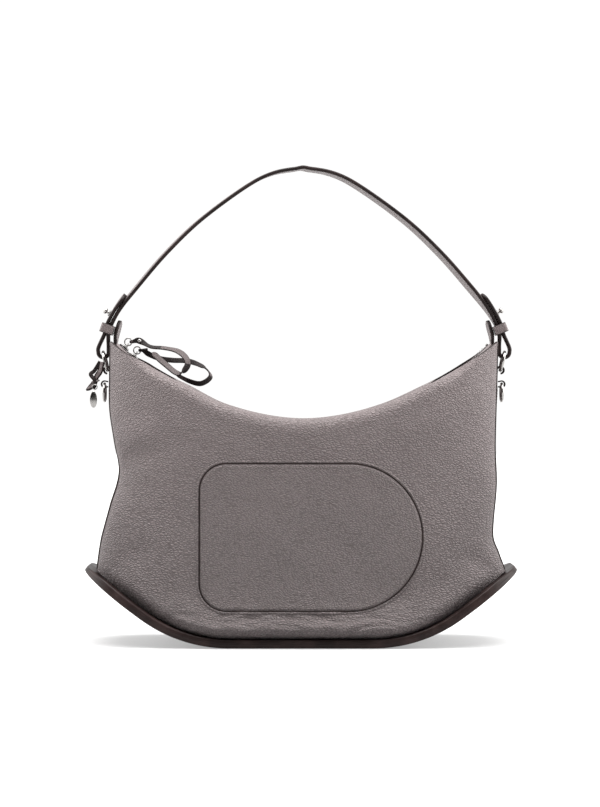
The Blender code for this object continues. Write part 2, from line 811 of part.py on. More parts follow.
def gusset_face(end, z):
    """x of the side panel's outer face in its middle, at height z."""
    left, right = edge_x(1.0)
    low = plank_height(right, PLANK_THICKNESS)
    t = (z - low) / (CORNER_Z - ROLL_STRAIGHT - low)
    left, right = edge_x(t)
    return (right if end > 0 else left) + end * max(0.0, curve_through(GUSSET_BULGE, t))


TAB_THICKNESS = 0.0016
TAB_WIDTH = 0.0170
TAB_EYE_WIDTH = 0.0062
TAB_EYE_RADIUS = 0.0031     # centre line of the tab's turn round the ring's wire
TAB_LOW_Z = 0.2010


def build_side_tab(name, end):
    """Strip on the side panel whose upper end is turned round the ring's wire."""
    wire = ring_centre(end) + ring_down(end) * (RING_RADIUS - 0.0003)
    face = gusset_face(end, 0.225) + end * (TAB_THICKNESS / 2 + GAP)
    low = Vector((gusset_face(end, TAB_LOW_Z) + end * (TAB_THICKNESS / 2 + GAP), 0.0, TAB_LOW_Z))
    mid = Vector((face, 0.0, 0.2200))
    neck_z = wire.z - TAB_EYE_RADIUS - 0.0040
    neck = Vector((mix(face, wire.x - end * TAB_EYE_RADIUS, 0.4), 0.0, neck_z))
    path = [low, low.lerp(mid, 0.5), mid, neck]
    for k in range(13):
        turn = radians(mix(-20.0, 262.0, k / 12))
        path.append(wire + Vector((-end * cos(turn), 0.0, sin(turn))) * TAB_EYE_RADIUS)
    flat = [TAB_WIDTH * 0.6, TAB_WIDTH, TAB_WIDTH, TAB_EYE_WIDTH + 0.003]

    def width(k):
        return flat[k] if k < len(flat) else TAB_EYE_WIDTH

    solid(name, ribbon(path, width, TAB_THICKNESS, (0.0, 1.0, 0.0)), leather())


def lower_loop_centre(end):
    face = gusset_face(end, 0.225) + end * (TAB_THICKNESS + GAP)
    return Vector((face + end * 0.0042, 0.0, LOWER_LOOP_Z - 0.0045))


def build_lower_ring(end, word):
    """Small sewn loop on the tab and the ring that hangs in it."""
    centre = lower_loop_centre(end)
    foot_x = centre.x - end * (0.0042 - 0.0012)
    path = []
    for k in range(13):
        turn = radians(mix(-128.0, 128.0, k / 12))
        path.append(centre + Vector((end * cos(turn), 0.0, sin(turn))) * 0.0028)
    for k in (0, -1):
        path[k].x = foot_x
    solid("lower_loop_" + word, ribbon(path, 0.0050, 0.0012, (0.0, 1.0, 0.0)), leather())
    hang = centre + Vector((0.0, 0.0, -LOWER_RING_RADIUS + 0.0003))
    axis = Vector((1.0, 0.0, 0.0))
    solid("lower_ring_" + word, torus(hang, axis, LOWER_RING_RADIUS, LOWER_RING_WIRE), silver(), centre)


def build_ends():
    for end, word in ((-1, "left"), (1, "right")):
        build_ear("zip_ear_" + word, end)
        build_side_tab("side_tab_" + word, end)
        build_lower_ring(end, word)
        solid("upper_ring_" + word, torus(ring_centre(end), ring_axis(end), RING_RADIUS, RING_WIRE, 24, 8),
              silver(), ring_centre(end))


# ---------------------------------------------------------------- handle
HANDLE_DRIFT = 0.012        # the handle's top sits this share of its height to the left
# half of the handle's centre line (x from the middle, z), from its top down
HANDLE_KNOTS = ((0.0, 0.4160), (0.0260, 0.4112), (0.0500, 0.3992), (0.0900, 0.3700),
                (0.1200, 0.3415), (0.1440, 0.3140), (0.1610, 0.2925))


def handle_path():
    """Centre line of the whole strap, tail to tail, with a turn round each ring."""
    halves = {}
    for end in (-1, 1):
        wire = ring_centre(end) - ring_down(end) * (RING_RADIUS - 0.0005)
        inner = wire - Vector((end * LOOP_RADIUS, 0.0, 0.0))
        main = [Vector((end * x + LEAN - HANDLE_DRIFT * (z - RING_Z), 0.0, z)) for x, z in HANDLE_KNOTS]
        main += [Vector((wire.x - end * 0.0052, 0.0, 0.2735)), inner + Vector((0.0, 0.0, 0.0050)), inner]
        turn = []
        for k in range(1, 12):
            a = pi * k / 12
            turn.append(wire + Vector((-end * cos(a), 0.0, -sin(a))) * LOOP_RADIUS)
        run = spline(main, 4)
        offset = STRAP_THICKNESS + GAP
        close = [p for p in run if 0.268 < p.z < TAIL_TIP_Z]
        tail = []
        for p in reversed(close):
            k = run.index(p)
            along = (run[k - 1] - run[k + 1]).normalized()
            out = Vector((along.z, 0.0, -along.x)) * (1.0 if end > 0 else -1.0)
            tail.append(p + out * offset)
        outer = wire + Vector((end * LOOP_RADIUS, 0.0, 0.0))
        first = [outer, outer + Vector((-end * 0.0002, 0.0, 0.0045))]
        halves[end] = (run, turn, first + tail)
    run_l, turn_l, tail_l = halves[-1]
    run_r, turn_r, tail_r = halves[1]
    return (list(reversed(tail_l)) + list(reversed(turn_l)) + list(reversed(run_l))
            + run_r[1:] + turn_r + tail_r)


def build_handle():
    path = handle_path()
    last = len(path) - 1

    def width(k):
        p = path[k]
        if p.z < 0.262:
            return STRAP_LOOP_WIDTH
        body = mix(STRAP_LOOP_WIDTH, STRAP_WIDTH, smooth((p.z - 0.262) / 0.045))
        from_tip = min(k, last - k)
        return body * (0.35, 0.75, 0.95)[from_tip] if from_tip < 3 else body

    def across(k):
        lift = smooth((path[k].z - 0.262) / 0.05)
        return Vector((-sin(STRAP_SKEW * lift), cos(STRAP_SKEW * lift), 0.0))

    solid("handle_strap", ribbon(path, width, STRAP_THICKNESS, across), dark_edge(), handle_pivot())
    for end, word in ((-1, "left"), (1, "right")):
        build_keeper(end, word, path)
        build_stud(end, word, path)


def handle_pivot():
    return (LEAN, 0.0, RING_Z)


def strand_pair(end, path, z):
    """Middle point between the strap and its tail at height z, and the upward direction."""
    strands = []
    for k in range(1, len(path) - 1):
        a, b = path[k], path[k + 1]
        if a.x * end > 0 and (a.z - z) * (b.z - z) <= 0 and a.z != b.z:
            f = (z - a.z) / (b.z - a.z)
            strands.append((a.lerp(b, f), (b - a).normalized()))
    middle = (strands[0][0] + strands[1][0]) / 2
    up = strands[0][1] if strands[0][1].z > 0 else -strands[0][1]
    return middle, up


def build_keeper(end, word, path):
    """Leather loop that holds the strap's tail against the strap."""
    middle, up = strand_pair(end, path, KEEPER_Z)
    out = Vector((up.z, 0.0, -up.x))
    half_t = STRAP_THICKNESS + GAP / 2 + 0.0012
    half_w = 0.0086
    wall = 0.0012
    corners = ((-half_t, -half_w), (half_t, -half_w), (half_t, half_w), (-half_t, half_w))
    loops = []
    for h in (-0.0042, 0.0042):
        loops.append([middle + up * h + out * a + Vector((0.0, b, 0.0)) for a, b in corners])
        loops.append([middle + up * h + out * (a + wall * (1 if a > 0 else -1))
                      + Vector((0.0, b + wall * (1 if b > 0 else -1), 0.0)) for a, b in corners])
    inner_low, outer_low, inner_high, outer_high = loops
    sections = []
    for k in range(4):
        sections.append([inner_low[k], outer_low[k], outer_high[k], inner_high[k]])
    solid("strap_keeper_" + word, sweep(sections, closed=True), leather())


def build_stud(end, word, path):
    """Collar stud on the tail's outer face."""
    middle, up = strand_pair(end, path, STUD_Z)
    out = Vector((up.z, 0.0, -up.x)) * end
    if out.x * end < 0:
        out = -out
    foot = middle + out * (STRAP_THICKNESS + GAP * 1.5)
    profile = ((0.0030, 0.0), (0.0030, 0.0010), (0.0014, 0.0014), (0.0014, 0.0026),
               (0.0026, 0.0036), (0.0026, 0.0050), (0.0014, 0.0060))
    solid("strap_stud_" + word, turned(foot, out, profile, 12), silver())


# ---------------------------------------------------------------- charm on the left ring
def build_charm():
    """Leather thong tied to the left ring, with a small oval tag."""
    wire = ring_centre(-1)
    top = wire + Vector((-0.0020, -0.0124, -0.0010))
    knot = Vector((-0.1795, -0.0140, 0.2285))
    route = [top, top + Vector((-0.0015, -0.0015, -0.0080)), knot + Vector((0.0010, 0.0, 0.0040)), knot,
             knot + Vector((-0.0040, -0.0005, -0.0050)), knot + Vector((-0.0080, -0.0010, -0.0080))]
    thong = spline(route, 3)
    last = len(thong) - 1

    def width(k):
        return 0.0048 if k < last - 1 else 0.0030

    solid("charm_thong", ribbon(thong, width, 0.0026, (1.0, 0.0, 0.35)), leather(), wire)
    link_top = knot + Vector((-0.0004, -0.0036, -0.0052))
    solid("charm_link", torus(link_top, (0.1, 1.0, 0.0), 0.0022, 0.0004, 12, 6), silver(), wire)
    centre = link_top + Vector((-0.0010, -0.0006, -0.0108))
    sections = []
    for y in (-0.0005, 0.0005):
        ring = []
        for k in range(18):
            a = 2 * pi * k / 18
            ring.append(centre + Vector((0.0031 * cos(a), y, 0.0072 * sin(a))))
        sections.append(ring)
    solid("charm_tag", sweep(sections), silver(), link_top)


# ---------------------------------------------------------------- the whole bag
def main():
    for obj in list(bpy.data.objects):
        bpy.data.objects.remove(obj, do_unlink=True)
    build_base()
    build_wall("front_panel", -1)
    build_wall("back_panel", 1)
    build_gusset("gusset_left", -1)
    build_gusset("gusset_right", 1)
    build_inlay()
    build_lining()
    build_inner_pocket()
    build_zip()
    build_ends()
    build_handle()
    build_charm()


main()
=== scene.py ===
import json
from functools import lru_cache
from math import asin, ceil, cos, exp, hypot, pi, radians, sin, sqrt

import bpy
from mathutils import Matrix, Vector, noise

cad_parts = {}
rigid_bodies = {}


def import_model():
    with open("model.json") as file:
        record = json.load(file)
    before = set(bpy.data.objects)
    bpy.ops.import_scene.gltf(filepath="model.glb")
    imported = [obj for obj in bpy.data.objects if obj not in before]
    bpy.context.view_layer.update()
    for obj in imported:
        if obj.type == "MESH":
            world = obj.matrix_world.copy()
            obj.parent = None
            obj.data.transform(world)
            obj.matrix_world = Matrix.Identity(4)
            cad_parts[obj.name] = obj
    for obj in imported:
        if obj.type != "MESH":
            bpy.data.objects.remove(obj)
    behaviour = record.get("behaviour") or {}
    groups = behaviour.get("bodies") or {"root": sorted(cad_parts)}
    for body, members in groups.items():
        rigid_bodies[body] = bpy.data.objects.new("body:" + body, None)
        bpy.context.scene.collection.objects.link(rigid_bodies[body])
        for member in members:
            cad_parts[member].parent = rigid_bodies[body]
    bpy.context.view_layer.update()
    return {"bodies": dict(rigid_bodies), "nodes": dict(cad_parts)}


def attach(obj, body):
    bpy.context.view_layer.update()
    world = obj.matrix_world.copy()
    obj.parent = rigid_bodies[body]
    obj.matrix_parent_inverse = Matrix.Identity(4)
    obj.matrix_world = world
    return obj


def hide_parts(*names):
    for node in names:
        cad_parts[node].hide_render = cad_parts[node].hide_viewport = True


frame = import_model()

# ---------------------------------------------------------------- sizes shared with the CAD
GAP = 0.0004                # between neighbouring pieces
PLANK_HALF_LENGTH = 0.189
PLANK_HALF_DEPTH = 0.060
PLANK_THICKNESS = 0.0075
PLANK_CORNER = 0.046
FLAT_HALF_LENGTH = 0.061
BEND_RADIUS = 0.130
BEND_ANGLE = radians(36.0)
WING_RADIUS = 1.500
LEATHER = 0.0018
BASE_EDGE_X = 0.1765
TOP_EDGE_X = 0.1690
LEAN = 0.0025               # the mouth's middle lies this much to the right
CORNER_Z = 0.2625
SAG_Z = 0.1955              # height of the mouth's lowest point
SAG_POWER = 1.85
ROLL_RADIUS = 0.0085
ROLL_TURN = radians(112.0)  # how far the rim turns inwards in the middle
ROLL_STRAIGHT = 0.0022
RIM_RISE_LEFT = 0.0030      # how much the rim swells up between its sag and its corner
RIM_RISE_RIGHT = 0.0010
ZIP_RADIUS = 0.2258
ZIP_PIVOT_Z = 0.1900 + ZIP_RADIUS
ZIP_HALF_ANGLE = radians(46.4)
ZIP_TEETH_ANGLE = radians(45.6)
ZIP_STOP_ANGLE = radians(46.0)
ZIP_TAPE_HALF = 0.0085
SLIDER_A_ANGLE = radians(-44.8)
SLIDER_B_ANGLE = radians(-42.0)
RING_RADIUS = 0.0084
RING_WIRE = 0.0014
RING_TILT = radians(13.0)
RING_X = 0.1745
RING_Z = 0.2462
LOWER_RING_RADIUS = 0.0076
LOWER_RING_WIRE = 0.0013
LOWER_LOOP_Z = 0.2305
STRAP_THICKNESS = 0.0032
STRAP_WIDTH = 0.0190
STRAP_LOOP_WIDTH = 0.0080
STRAP_SKEW = radians(12.0)
LOOP_RADIUS = 0.0045
TAIL_TIP_Z = 0.3045
KEEPER_Z = 0.2745
STUD_Z = 0.2865
INLAY_LEFT = -0.0865
INLAY_RIGHT = 0.1035
INLAY_LOW = 0.0325
INLAY_HIGH = 0.1575
INLAY_CORNER = 0.023
INLAY_MIDDLE = (INLAY_LOW + INLAY_HIGH) / 2
INLAY_HALF = (INLAY_HIGH - INLAY_LOW) / 2

# (share of the height, half size) along the body's left, right, side, front and side-panel outlines
LEFT_EDGE = ((0.0, BASE_EDGE_X), (0.14, 0.1725), (0.32, 0.1645), (0.49, 0.1570),
             (0.60, 0.1615), (0.72, 0.1660), (0.86, 0.1665), (1.0, TOP_EDGE_X - LEAN))
RIGHT_EDGE = ((0.0, BASE_EDGE_X), (0.10, 0.1705), (0.20, 0.1652), (0.40, 0.1685),
              (0.57, 0.1680), (0.80, 0.1700), (1.0, TOP_EDGE_X + LEAN))
SIDE_DEPTH = ((0.0, 0.030), (0.25, 0.034), (0.55, 0.027), (0.80, 0.0175), (1.0, 0.0125))
MIDDLE_DEPTH = ((0.0, 0.0550), (0.05, 0.0630), (0.11, 0.0625), (0.18, 0.0602), (0.35, 0.0594),
                (0.55, 0.0586), (0.70, 0.0584), (0.80, 0.0590), (0.90, 0.0600), (1.0, 0.0612))
GUSSET_BULGE = ((0.0, 0.001), (0.2, 0.003), (0.5, -0.004), (0.8, -0.002), (1.0, 0.0005))
HANDLE_DRIFT = 0.012
HANDLE_KNOTS = ((0.0, 0.4160), (0.0260, 0.4112), (0.0500, 0.3992), (0.0900, 0.3700),
                (0.1200, 0.3415), (0.1440, 0.3140), (0.1610, 0.2925))
LACE_THICKNESS = 0.0012
LACE_FOLD_WIDTH = 0.0026
LACE_TURN = 0.0016
LACE_A = ((-0.1462, -0.0016, 0.2640), (-0.1418, -0.0024, 0.2640), (-0.1318, -0.0060, 0.2588),
          (-0.1200, -0.0095, 0.2575), (-0.1080, -0.0140, 0.2548), (-0.1003, -0.0185, 0.2487),
          (-0.0990, -0.0215, 0.2415), (-0.1065, -0.0225, 0.2350), (-0.1180, -0.0180, 0.2430),
          (-0.1300, -0.0125, 0.2535))
LACE_B = ((-0.1382, -0.0016, 0.2552), (-0.1330, -0.0016, 0.2520), (-0.1240, 0.0005, 0.2485),
          (-0.1130, -0.0015, 0.2470), (-0.0980, -0.0050, 0.2460), (-0.0840, -0.0100, 0.2400),
          (-0.0790, -0.0140, 0.2325), (-0.0870, -0.0165, 0.2265), (-0.0975, -0.0130, 0.2285),
          (-0.1095, -0.0080, 0.2345))
FINE = 0.0004               # step between the rings of a small strap or lace

SKY_FRONT = 0.02
SKY_BACK = 1.03
# soft lamps in the sky: direction, cosine where each begins, cosine where it is full, strength
SKY_LAMPS = (((0.0, -0.16, 0.98), 0.80, 0.97, 11.2),
             ((0.90, -0.04, 0.44), 0.74, 0.97, 6.0),
             ((-0.90, 0.08, 0.44), 0.78, 0.97, 5.2))
FLOOR_GLOW = 0.34
CAMERA_PLACE = (-0.0009, -1.9, 0.209)
CAMERA_LENS = 96.34


# ---------------------------------------------------------------- node materials
def put(tree, kind, inputs=None, **settings):
    """A shader node with its settings made; an input takes a value or another node's output."""
    made = tree.nodes.new(kind)
    for key, value in settings.items():
        setattr(made, key, value)
    for key, value in (inputs or {}).items():
        if isinstance(value, bpy.types.NodeSocket):
            tree.links.new(value, made.inputs[key])
        else:
            made.inputs[key].default_value = value
    return made


def start(name, roughness, **constants):
    """A material: itself, its tree, its shader and the place on the piece."""
    mat = bpy.data.materials.new(name)
    mat.use_nodes = True
    tree = mat.node_tree
    shader = tree.nodes["Principled BSDF"]
    shader.inputs["Roughness"].default_value = roughness
    for key, value in constants.items():
        shader.inputs[key.replace("_", " ")].default_value = value
    return mat, tree, shader, put(tree, "ShaderNodeTexCoord").outputs["Object"]


def calc(tree, operation, a, b=0.0):
    return put(tree, "ShaderNodeMath", {0: a, 1: b}, operation=operation).outputs[0]


def vector(tree, operation, a, b):
    return put(tree, "ShaderNodeVectorMath", {0: a, 1: b}, operation=operation).outputs[0]


def total(tree, first, *others):
    """The first value plus each other value times its factor."""
    for value, factor in others:
        first = calc(tree, "ADD", first, calc(tree, "MULTIPLY", value, factor))
    return first


def spread(tree, value, low, high, to_low=0.0, to_high=1.0):
    """The value from low..high carried to to_low..to_high, with soft ends."""
    made = put(tree, "ShaderNodeMapRange", {"Value": value, "From Min": low, "From Max": high,
                                            "To Min": to_low, "To Max": to_high},
               interpolation_type="SMOOTHSTEP")
    return made.outputs["Result"]


def clouds(tree, place, scale, detail=2.0, stretch=(1.0, 1.0, 1.0), turn=0.0):
    """Noise value at a scale per metre, stretched and turned about Y."""
    lay = put(tree, "ShaderNodeMapping", {"Vector": place, "Rotation": (0.0, turn, 0.0), "Scale": stretch})
    made = put(tree, "ShaderNodeTexNoise", {"Vector": lay.outputs[0], "Scale": scale, "Detail": detail})
    return made.outputs["Fac"]


def tint(tree, dark, light, factor):
    made = tree.nodes.new("ShaderNodeMix")
    made.data_type = "RGBA"
    made.inputs[6].default_value = (*dark, 1.0)
    made.inputs[7].default_value = (*light, 1.0)
    tree.links.new(factor, made.inputs[0])
    return made.outputs[2]


def paint(tree, shader, dark, light, factor):
    tree.links.new(tint(tree, dark, light, factor), shader.inputs["Base Color"])


def emboss(tree, shader, height, strength, distance):
    bump = put(tree, "ShaderNodeBump", {"Strength": strength, "Distance": distance, "Height": height})
    tree.links.new(bump.outputs[0], shader.inputs["Normal"])


def shaded(colour, factor):
    return tuple(c * factor for c in colour)


def leather_material(name, colour, grain=480.0, depth=0.00052, folds=0.0, shine=0.42, painted_light_share=0.32):
    """Pebbled leather: cells with soft creases between them, larger folds, and colour that is unevenly dyed.
    The colour also holds painted light: each pebble's upper side is lighter as if lit from above, the
    creases carry painted shade, and the leather is darker towards the bottom and lighter towards the top.
    """
    mat, tree, shader, place = start(name, 0.50, Specular_IOR_Level=shine, Sheen_Weight=0.06,
                                     Sheen_Roughness=0.4)
    warp = put(tree, "ShaderNodeTexNoise", {"Vector": place, "Scale": 170.0, "Detail": 2.0})
    centred = vector(tree, "SUBTRACT", warp.outputs["Color"], (0.5, 0.5, 0.5))
    push = put(tree, "ShaderNodeVectorMath", {0: centred, 3: 0.0016}, operation="SCALE").outputs[0]
    moved = vector(tree, "ADD", place, push)

    def raised(at):
        lay = put(tree, "ShaderNodeMapping", {"Vector": at, "Rotation": (0.0, radians(12.0), 0.0),
                                              "Scale": (0.66, 1.0, 1.20)}).outputs[0]
        cells = put(tree, "ShaderNodeTexVoronoi", {"Vector": lay, "Scale": grain, "Randomness": 0.95},
                    feature="DISTANCE_TO_EDGE").outputs["Distance"]
        return spread(tree, cells, 0.0, 0.30)

    pebble = raised(moved)
    # painted light: each pebble's upper side lighter and its lower side darker, as if lit from above
    painted_top_light = calc(tree, "SUBTRACT", pebble, raised(vector(tree, "ADD", moved, (0.0, 0.0, 0.26 / grain))))
    pores = clouds(tree, place, 2600.0, 3.0)
    wide = clouds(tree, place, 210.0, 3.0, (0.75, 1.0, 1.5), radians(30.0))
    up = put(tree, "ShaderNodeSeparateXYZ", {0: place}).outputs[2]
    height = total(tree, pebble, (pores, 0.20), (wide, 0.7))
    if folds:
        low_part = spread(tree, up, 0.020, 0.050, 1.0, 0.0)
        waves = clouds(tree, place, 95.0, 4.0, (0.8, 1.0, 3.2), radians(-6.0))
        height = total(tree, height, (calc(tree, "MULTIPLY", waves, low_part), folds))
    emboss(tree, shader, height, 1.0, depth)
    # painted shade: darker towards the bottom and lighter towards the top; the pebble term adds the grain's
    # own colour and painted shade in the creases
    dye_and_painted_shade = total(tree, spread(tree, up, 0.03, 0.26, -0.20, 0.24), (pebble, 0.30),
                (clouds(tree, place, 16.0, 3.0), 0.30), (painted_top_light, painted_light_share), (wide, 0.15))
    paint(tree, shader, shaded(colour, 0.58), shaded(colour, 1.34), spread(tree, dye_and_painted_shade, -0.10, 0.90))
    tree.links.new(total(tree, 0.40, (pores, 0.20)), shader.inputs["Roughness"])
    return mat


def paint_material(name, colour, roughness=0.42, shine=0.14):
    """Burnished edge paint, with faint brush ripples and rubbed places."""
    mat, tree, shader, place = start(name, roughness, Specular_IOR_Level=shine)
    rub = clouds(tree, place, 60.0, 4.0)
    emboss(tree, shader, clouds(tree, place, 320.0, 3.0, (1.0, 1.0, 3.0)), 0.35, 0.0002)
    paint(tree, shader, shaded(colour, 0.7), shaded(colour, 1.5), spread(tree, rub, 0.35, 0.75))
    gloss = spread(tree, rub, 0.3, 0.8, roughness - 0.08, roughness + 0.14)
    tree.links.new(gloss, shader.inputs["Roughness"])
    return mat


def weave_material(name, dark, light, pitch, roughness=0.85):
    """Plain weave: two crossing sets of threads, pitch apart."""
    mat, tree, shader, place = start(name, roughness, Specular_IOR_Level=0.25, Sheen_Weight=0.15,
                                     Sheen_Roughness=0.5)
    x, y, z = put(tree, "ShaderNodeSeparateXYZ", {0: place}).outputs
    turn = 2 * pi / pitch
    along = calc(tree, "SINE", calc(tree, "MULTIPLY", calc(tree, "ADD", x, y), turn))
    upward = calc(tree, "SINE", calc(tree, "MULTIPLY", calc(tree, "SUBTRACT", z, y), turn))
    threads = spread(tree, calc(tree, "MULTIPLY", along, upward), -0.8, 0.8)
    fuzz = clouds(tree, place, 900.0, 4.0)
    emboss(tree, shader, total(tree, threads, (fuzz, 0.6)), 0.7, pitch * 0.25)
    paint(tree, shader, dark, light, calc(tree, "MULTIPLY", calc(tree, "ADD", threads, fuzz), 0.55))
    return mat


def metal_material(name, colour, roughness):
    """Plated metal with fine scratches and slightly uneven polish."""
    mat, tree, shader, place = start(name, roughness, Metallic=1.0)
    haze = clouds(tree, place, 180.0, 3.0)
    emboss(tree, shader, clouds(tree, place, 900.0, 5.0, (1.0, 1.0, 6.0), radians(20.0)), 0.25, 0.00005)
    paint(tree, shader, shaded(colour, 0.72), colour, spread(tree, haze, 0.3, 0.6))
    gloss = spread(tree, haze, 0.25, 0.75, roughness - 0.05, roughness + 0.12)
    tree.links.new(gloss, shader.inputs["Roughness"])
    return mat


def board_material(name):
    """Pressed fibre board."""
    mat, tree, shader, place = start(name, 0.85, Specular_IOR_Level=0.2)
    fibre = clouds(tree, place, 420.0, 6.0, (0.4, 1.0, 1.0))
    emboss(tree, shader, fibre, 0.5, 0.0002)
    paint(tree, shader, (0.07, 0.05, 0.035), (0.17, 0.13, 0.09), fibre)
    return mat


GREY = (0.103, 0.0822, 0.0820)
LEATHER_MAT = leather_material("pebbled_leather", GREY, folds=7.0)
PANEL_MAT = leather_material("panel_leather", shaded(GREY, 0.97), grain=580.0, depth=0.00054)
STRAP_MAT = leather_material("strap_leather", shaded(GREY, 0.95), grain=900.0, depth=0.00012, painted_light_share=0.10)
DARK_LEATHER_MAT = leather_material("dark_leather", (0.012, 0.009, 0.009), grain=900.0, depth=0.00010,
                                    shine=0.12, painted_light_share=0.10)
LACE_MAT = leather_material("lace_leather", shaded(GREY, 0.66), grain=900.0, depth=0.00010,
                            shine=0.22, painted_light_share=0.10)
PAINT_MAT = paint_material("edge_paint", (0.0125, 0.0075, 0.0070))
PLANK_MAT = paint_material("plank_lacquer", (0.0180, 0.0112, 0.0104), 0.36, 0.12)
THREAD_MAT = weave_material("thread", (0.050, 0.041, 0.039), (0.115, 0.098, 0.094), 0.0004, 0.6)
LINING_MAT = weave_material("lining_cloth", (0.045, 0.039, 0.037), (0.120, 0.106, 0.100), 0.0007)
TAPE_MAT = weave_material("zip_tape", (0.008, 0.007, 0.007), (0.030, 0.027, 0.027), 0.0006)
METAL_MAT = metal_material("silver_plate", (0.34, 0.33, 0.32), 0.14)
ZIP_METAL_MAT = metal_material("zip_metal", (0.16, 0.15, 0.145), 0.22)
BOARD_MAT = board_material("board")


# ---------------------------------------------------------------- small tools
FRONTWARD = Vector((0.0, -1.0, 0.0))
UPWARD = Vector((0.0, 0.0, 1.0))


def mix(a, b, f):
    return a + (b - a) * f


def smooth(f):
    f = min(1.0, max(0.0, f))
    return f * f * (3.0 - 2.0 * f)


def curve_through(knots, t):
    """Height of a smooth curve through (position, value) knots at position t."""
    t = min(knots[-1][0], max(knots[0][0], t))
    for k in range(len(knots) - 1):
        if t <= knots[k + 1][0]:
            break
    slopes = []
    for j in (k, k + 1):
        a = knots[max(0, j - 1)]
        b = knots[min(len(knots) - 1, j + 1)]
        slopes.append((b[1] - a[1]) / (b[0] - a[0]))
    span = knots[k + 1][0] - knots[k][0]
    f = (t - knots[k][0]) / span
    h = f * f * (3.0 - 2.0 * f)
    rise = f * (1.0 - f) * span
    return mix(knots[k][1], knots[k + 1][1], h) + rise * ((1.0 - f) * slopes[0] - f * slopes[1])


def spline(points, steps):
    """Points along a Catmull-Rom curve through 3-D points."""
    pts = [Vector(p) for p in points]
    ends = [2 * pts[0] - pts[1]] + pts + [2 * pts[-1] - pts[-2]]
    out = []
    for k in range(1, len(ends) - 2):
        a, b, c, d = ends[k - 1:k + 3]
        for s in range(steps):
            f = s / steps
            out.append(0.5 * (2 * b + (c - a) * f + (2 * a - 5 * b + 4 * c - d) * f * f
                              + (3 * b - a - 3 * c + d) * f ** 3))
    out.append(pts[-1])
    return out


def evenly(points, step):
    """The same line with points an even step apart."""
    lengths = [0.0]
    for a, b in zip(points, points[1:]):
        lengths.append(lengths[-1] + (b - a).length)
    count = max(2, ceil(lengths[-1] / step))
    out = []
    k = 0
    for n in range(count + 1):
        want = lengths[-1] * n / count
        while k < len(points) - 2 and lengths[k + 1] < want:
            k += 1
        span = lengths[k + 1] - lengths[k]
        out.append(points[k].lerp(points[k + 1], (want - lengths[k]) / span if span else 0.0))
    return out


def heading(path, k, closed):
    """Direction of a path at its point k."""
    last = len(path) - 1
    ahead = path[(k + 1) % (last + 1)] if closed else path[min(k + 1, last)]
    behind = path[k - 1] if closed else path[max(k - 1, 0)]
    return (ahead - behind).normalized()


def loop_of(centre, first, second, sides):
    """Points round an ellipse whose half axes are the vectors first and second."""
    turns = [2 * pi * j / sides for j in range(sides)]
    return [centre + first * cos(turn) + second * sin(turn) for turn in turns]


def square_to(axis):
    axis = Vector(axis).normalized()
    first = axis.orthogonal().normalized()
    return axis, first, axis.cross(first)


class Build:
    """Gathers closed shapes into one mesh."""

    def __init__(self):
        self.verts = []
        self.faces = []
        self.slots = []

    def add(self, verts, faces, slots=0):
        volume = 0.0
        for face in faces:
            a = verts[face[0]]
            for k in range(1, len(face) - 1):
                volume += a.dot(verts[face[k]].cross(verts[face[k + 1]]))
        if volume < 0:
            faces = [tuple(reversed(face)) for face in faces]
        base = len(self.verts)
        self.verts += verts
        self.faces += [tuple(base + i for i in face) for face in faces]
        self.slots += [slots] * len(faces) if isinstance(slots, int) else slots

    def done(self, name, mats, body, stands_for=(), sharp=50.0):
        """The mesh object, riding on its body, with the given materials; the CAD pieces it stands for are
        hidden.
        """
        pivot = frame["bodies"][body].matrix_world.translation
        mesh = bpy.data.meshes.new(name)
        mesh.from_pydata([v - pivot for v in self.verts], [], self.faces)
        for mat in mats:
            mesh.materials.append(mat)
        mesh.polygons.foreach_set("material_index", self.slots)
        mesh.shade_smooth()
        mesh.set_sharp_from_angle(angle=radians(sharp))
        mesh.update()
        obj = bpy.data.objects.new(name, mesh)
        obj.location = pivot
        bpy.context.scene.collection.objects.link(obj)
        bpy.context.view_layer.update()
        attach(obj, body)
        if stands_for:
            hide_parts(*stands_for)
        return obj


def shell(outer, inner):
    """Closed shell between two equal grids of points."""
    rows = len(outer)
    cols = len(outer[0])
    verts = [p for row in outer for p in row] + [p for row in inner for p in row]
    half = rows * cols
    faces = []
    for r in range(rows - 1):
        for c in range(cols - 1):
            a = r * cols + c
            faces.append((a, a + 1, a + cols + 1, a + cols))
            faces.append((half + a, half + a + cols, half + a + cols + 1, half + a + 1))
    border = [(0, c) for c in range(cols)]
    border += [(r, cols - 1) for r in range(1, rows)]
    border += [(rows - 1, c) for c in range(cols - 2, -1, -1)]
    border += [(r, 0) for r in range(rows - 2, 0, -1)]
    for k, (r, c) in enumerate(border):
        r2, c2 = border[(k + 1) % len(border)]
        a = r * cols + c
        b = r2 * cols + c2
        faces.append((b, a, half + a, half + b))
    return verts, faces


def sweep(sections, closed=False, tags=None):
    """Closed solid through rings of points; tags name a material slot for each side of a ring."""
    count = len(sections)
    sides = len(sections[0])
    verts = [p for ring in sections for p in ring]
    tags = tags or [0] * sides
    faces = []
    slots = []
    for k in range(count if closed else count - 1):
        n = (k + 1) % count
        for j in range(sides):
            m = (j + 1) % sides
            faces.append((k * sides + j, k * sides + m, n * sides + m, n * sides + j))
            slots.append(tags[j])
    if not closed:
        faces.append(tuple(range(sides - 1, -1, -1)))
        last = (count - 1) * sides
        faces.append(tuple(range(last, last + sides)))
        slots += [max(tags)] * 2
    return verts, faces, slots


EDGE_STEPS = 6
FACE_STEPS = 6


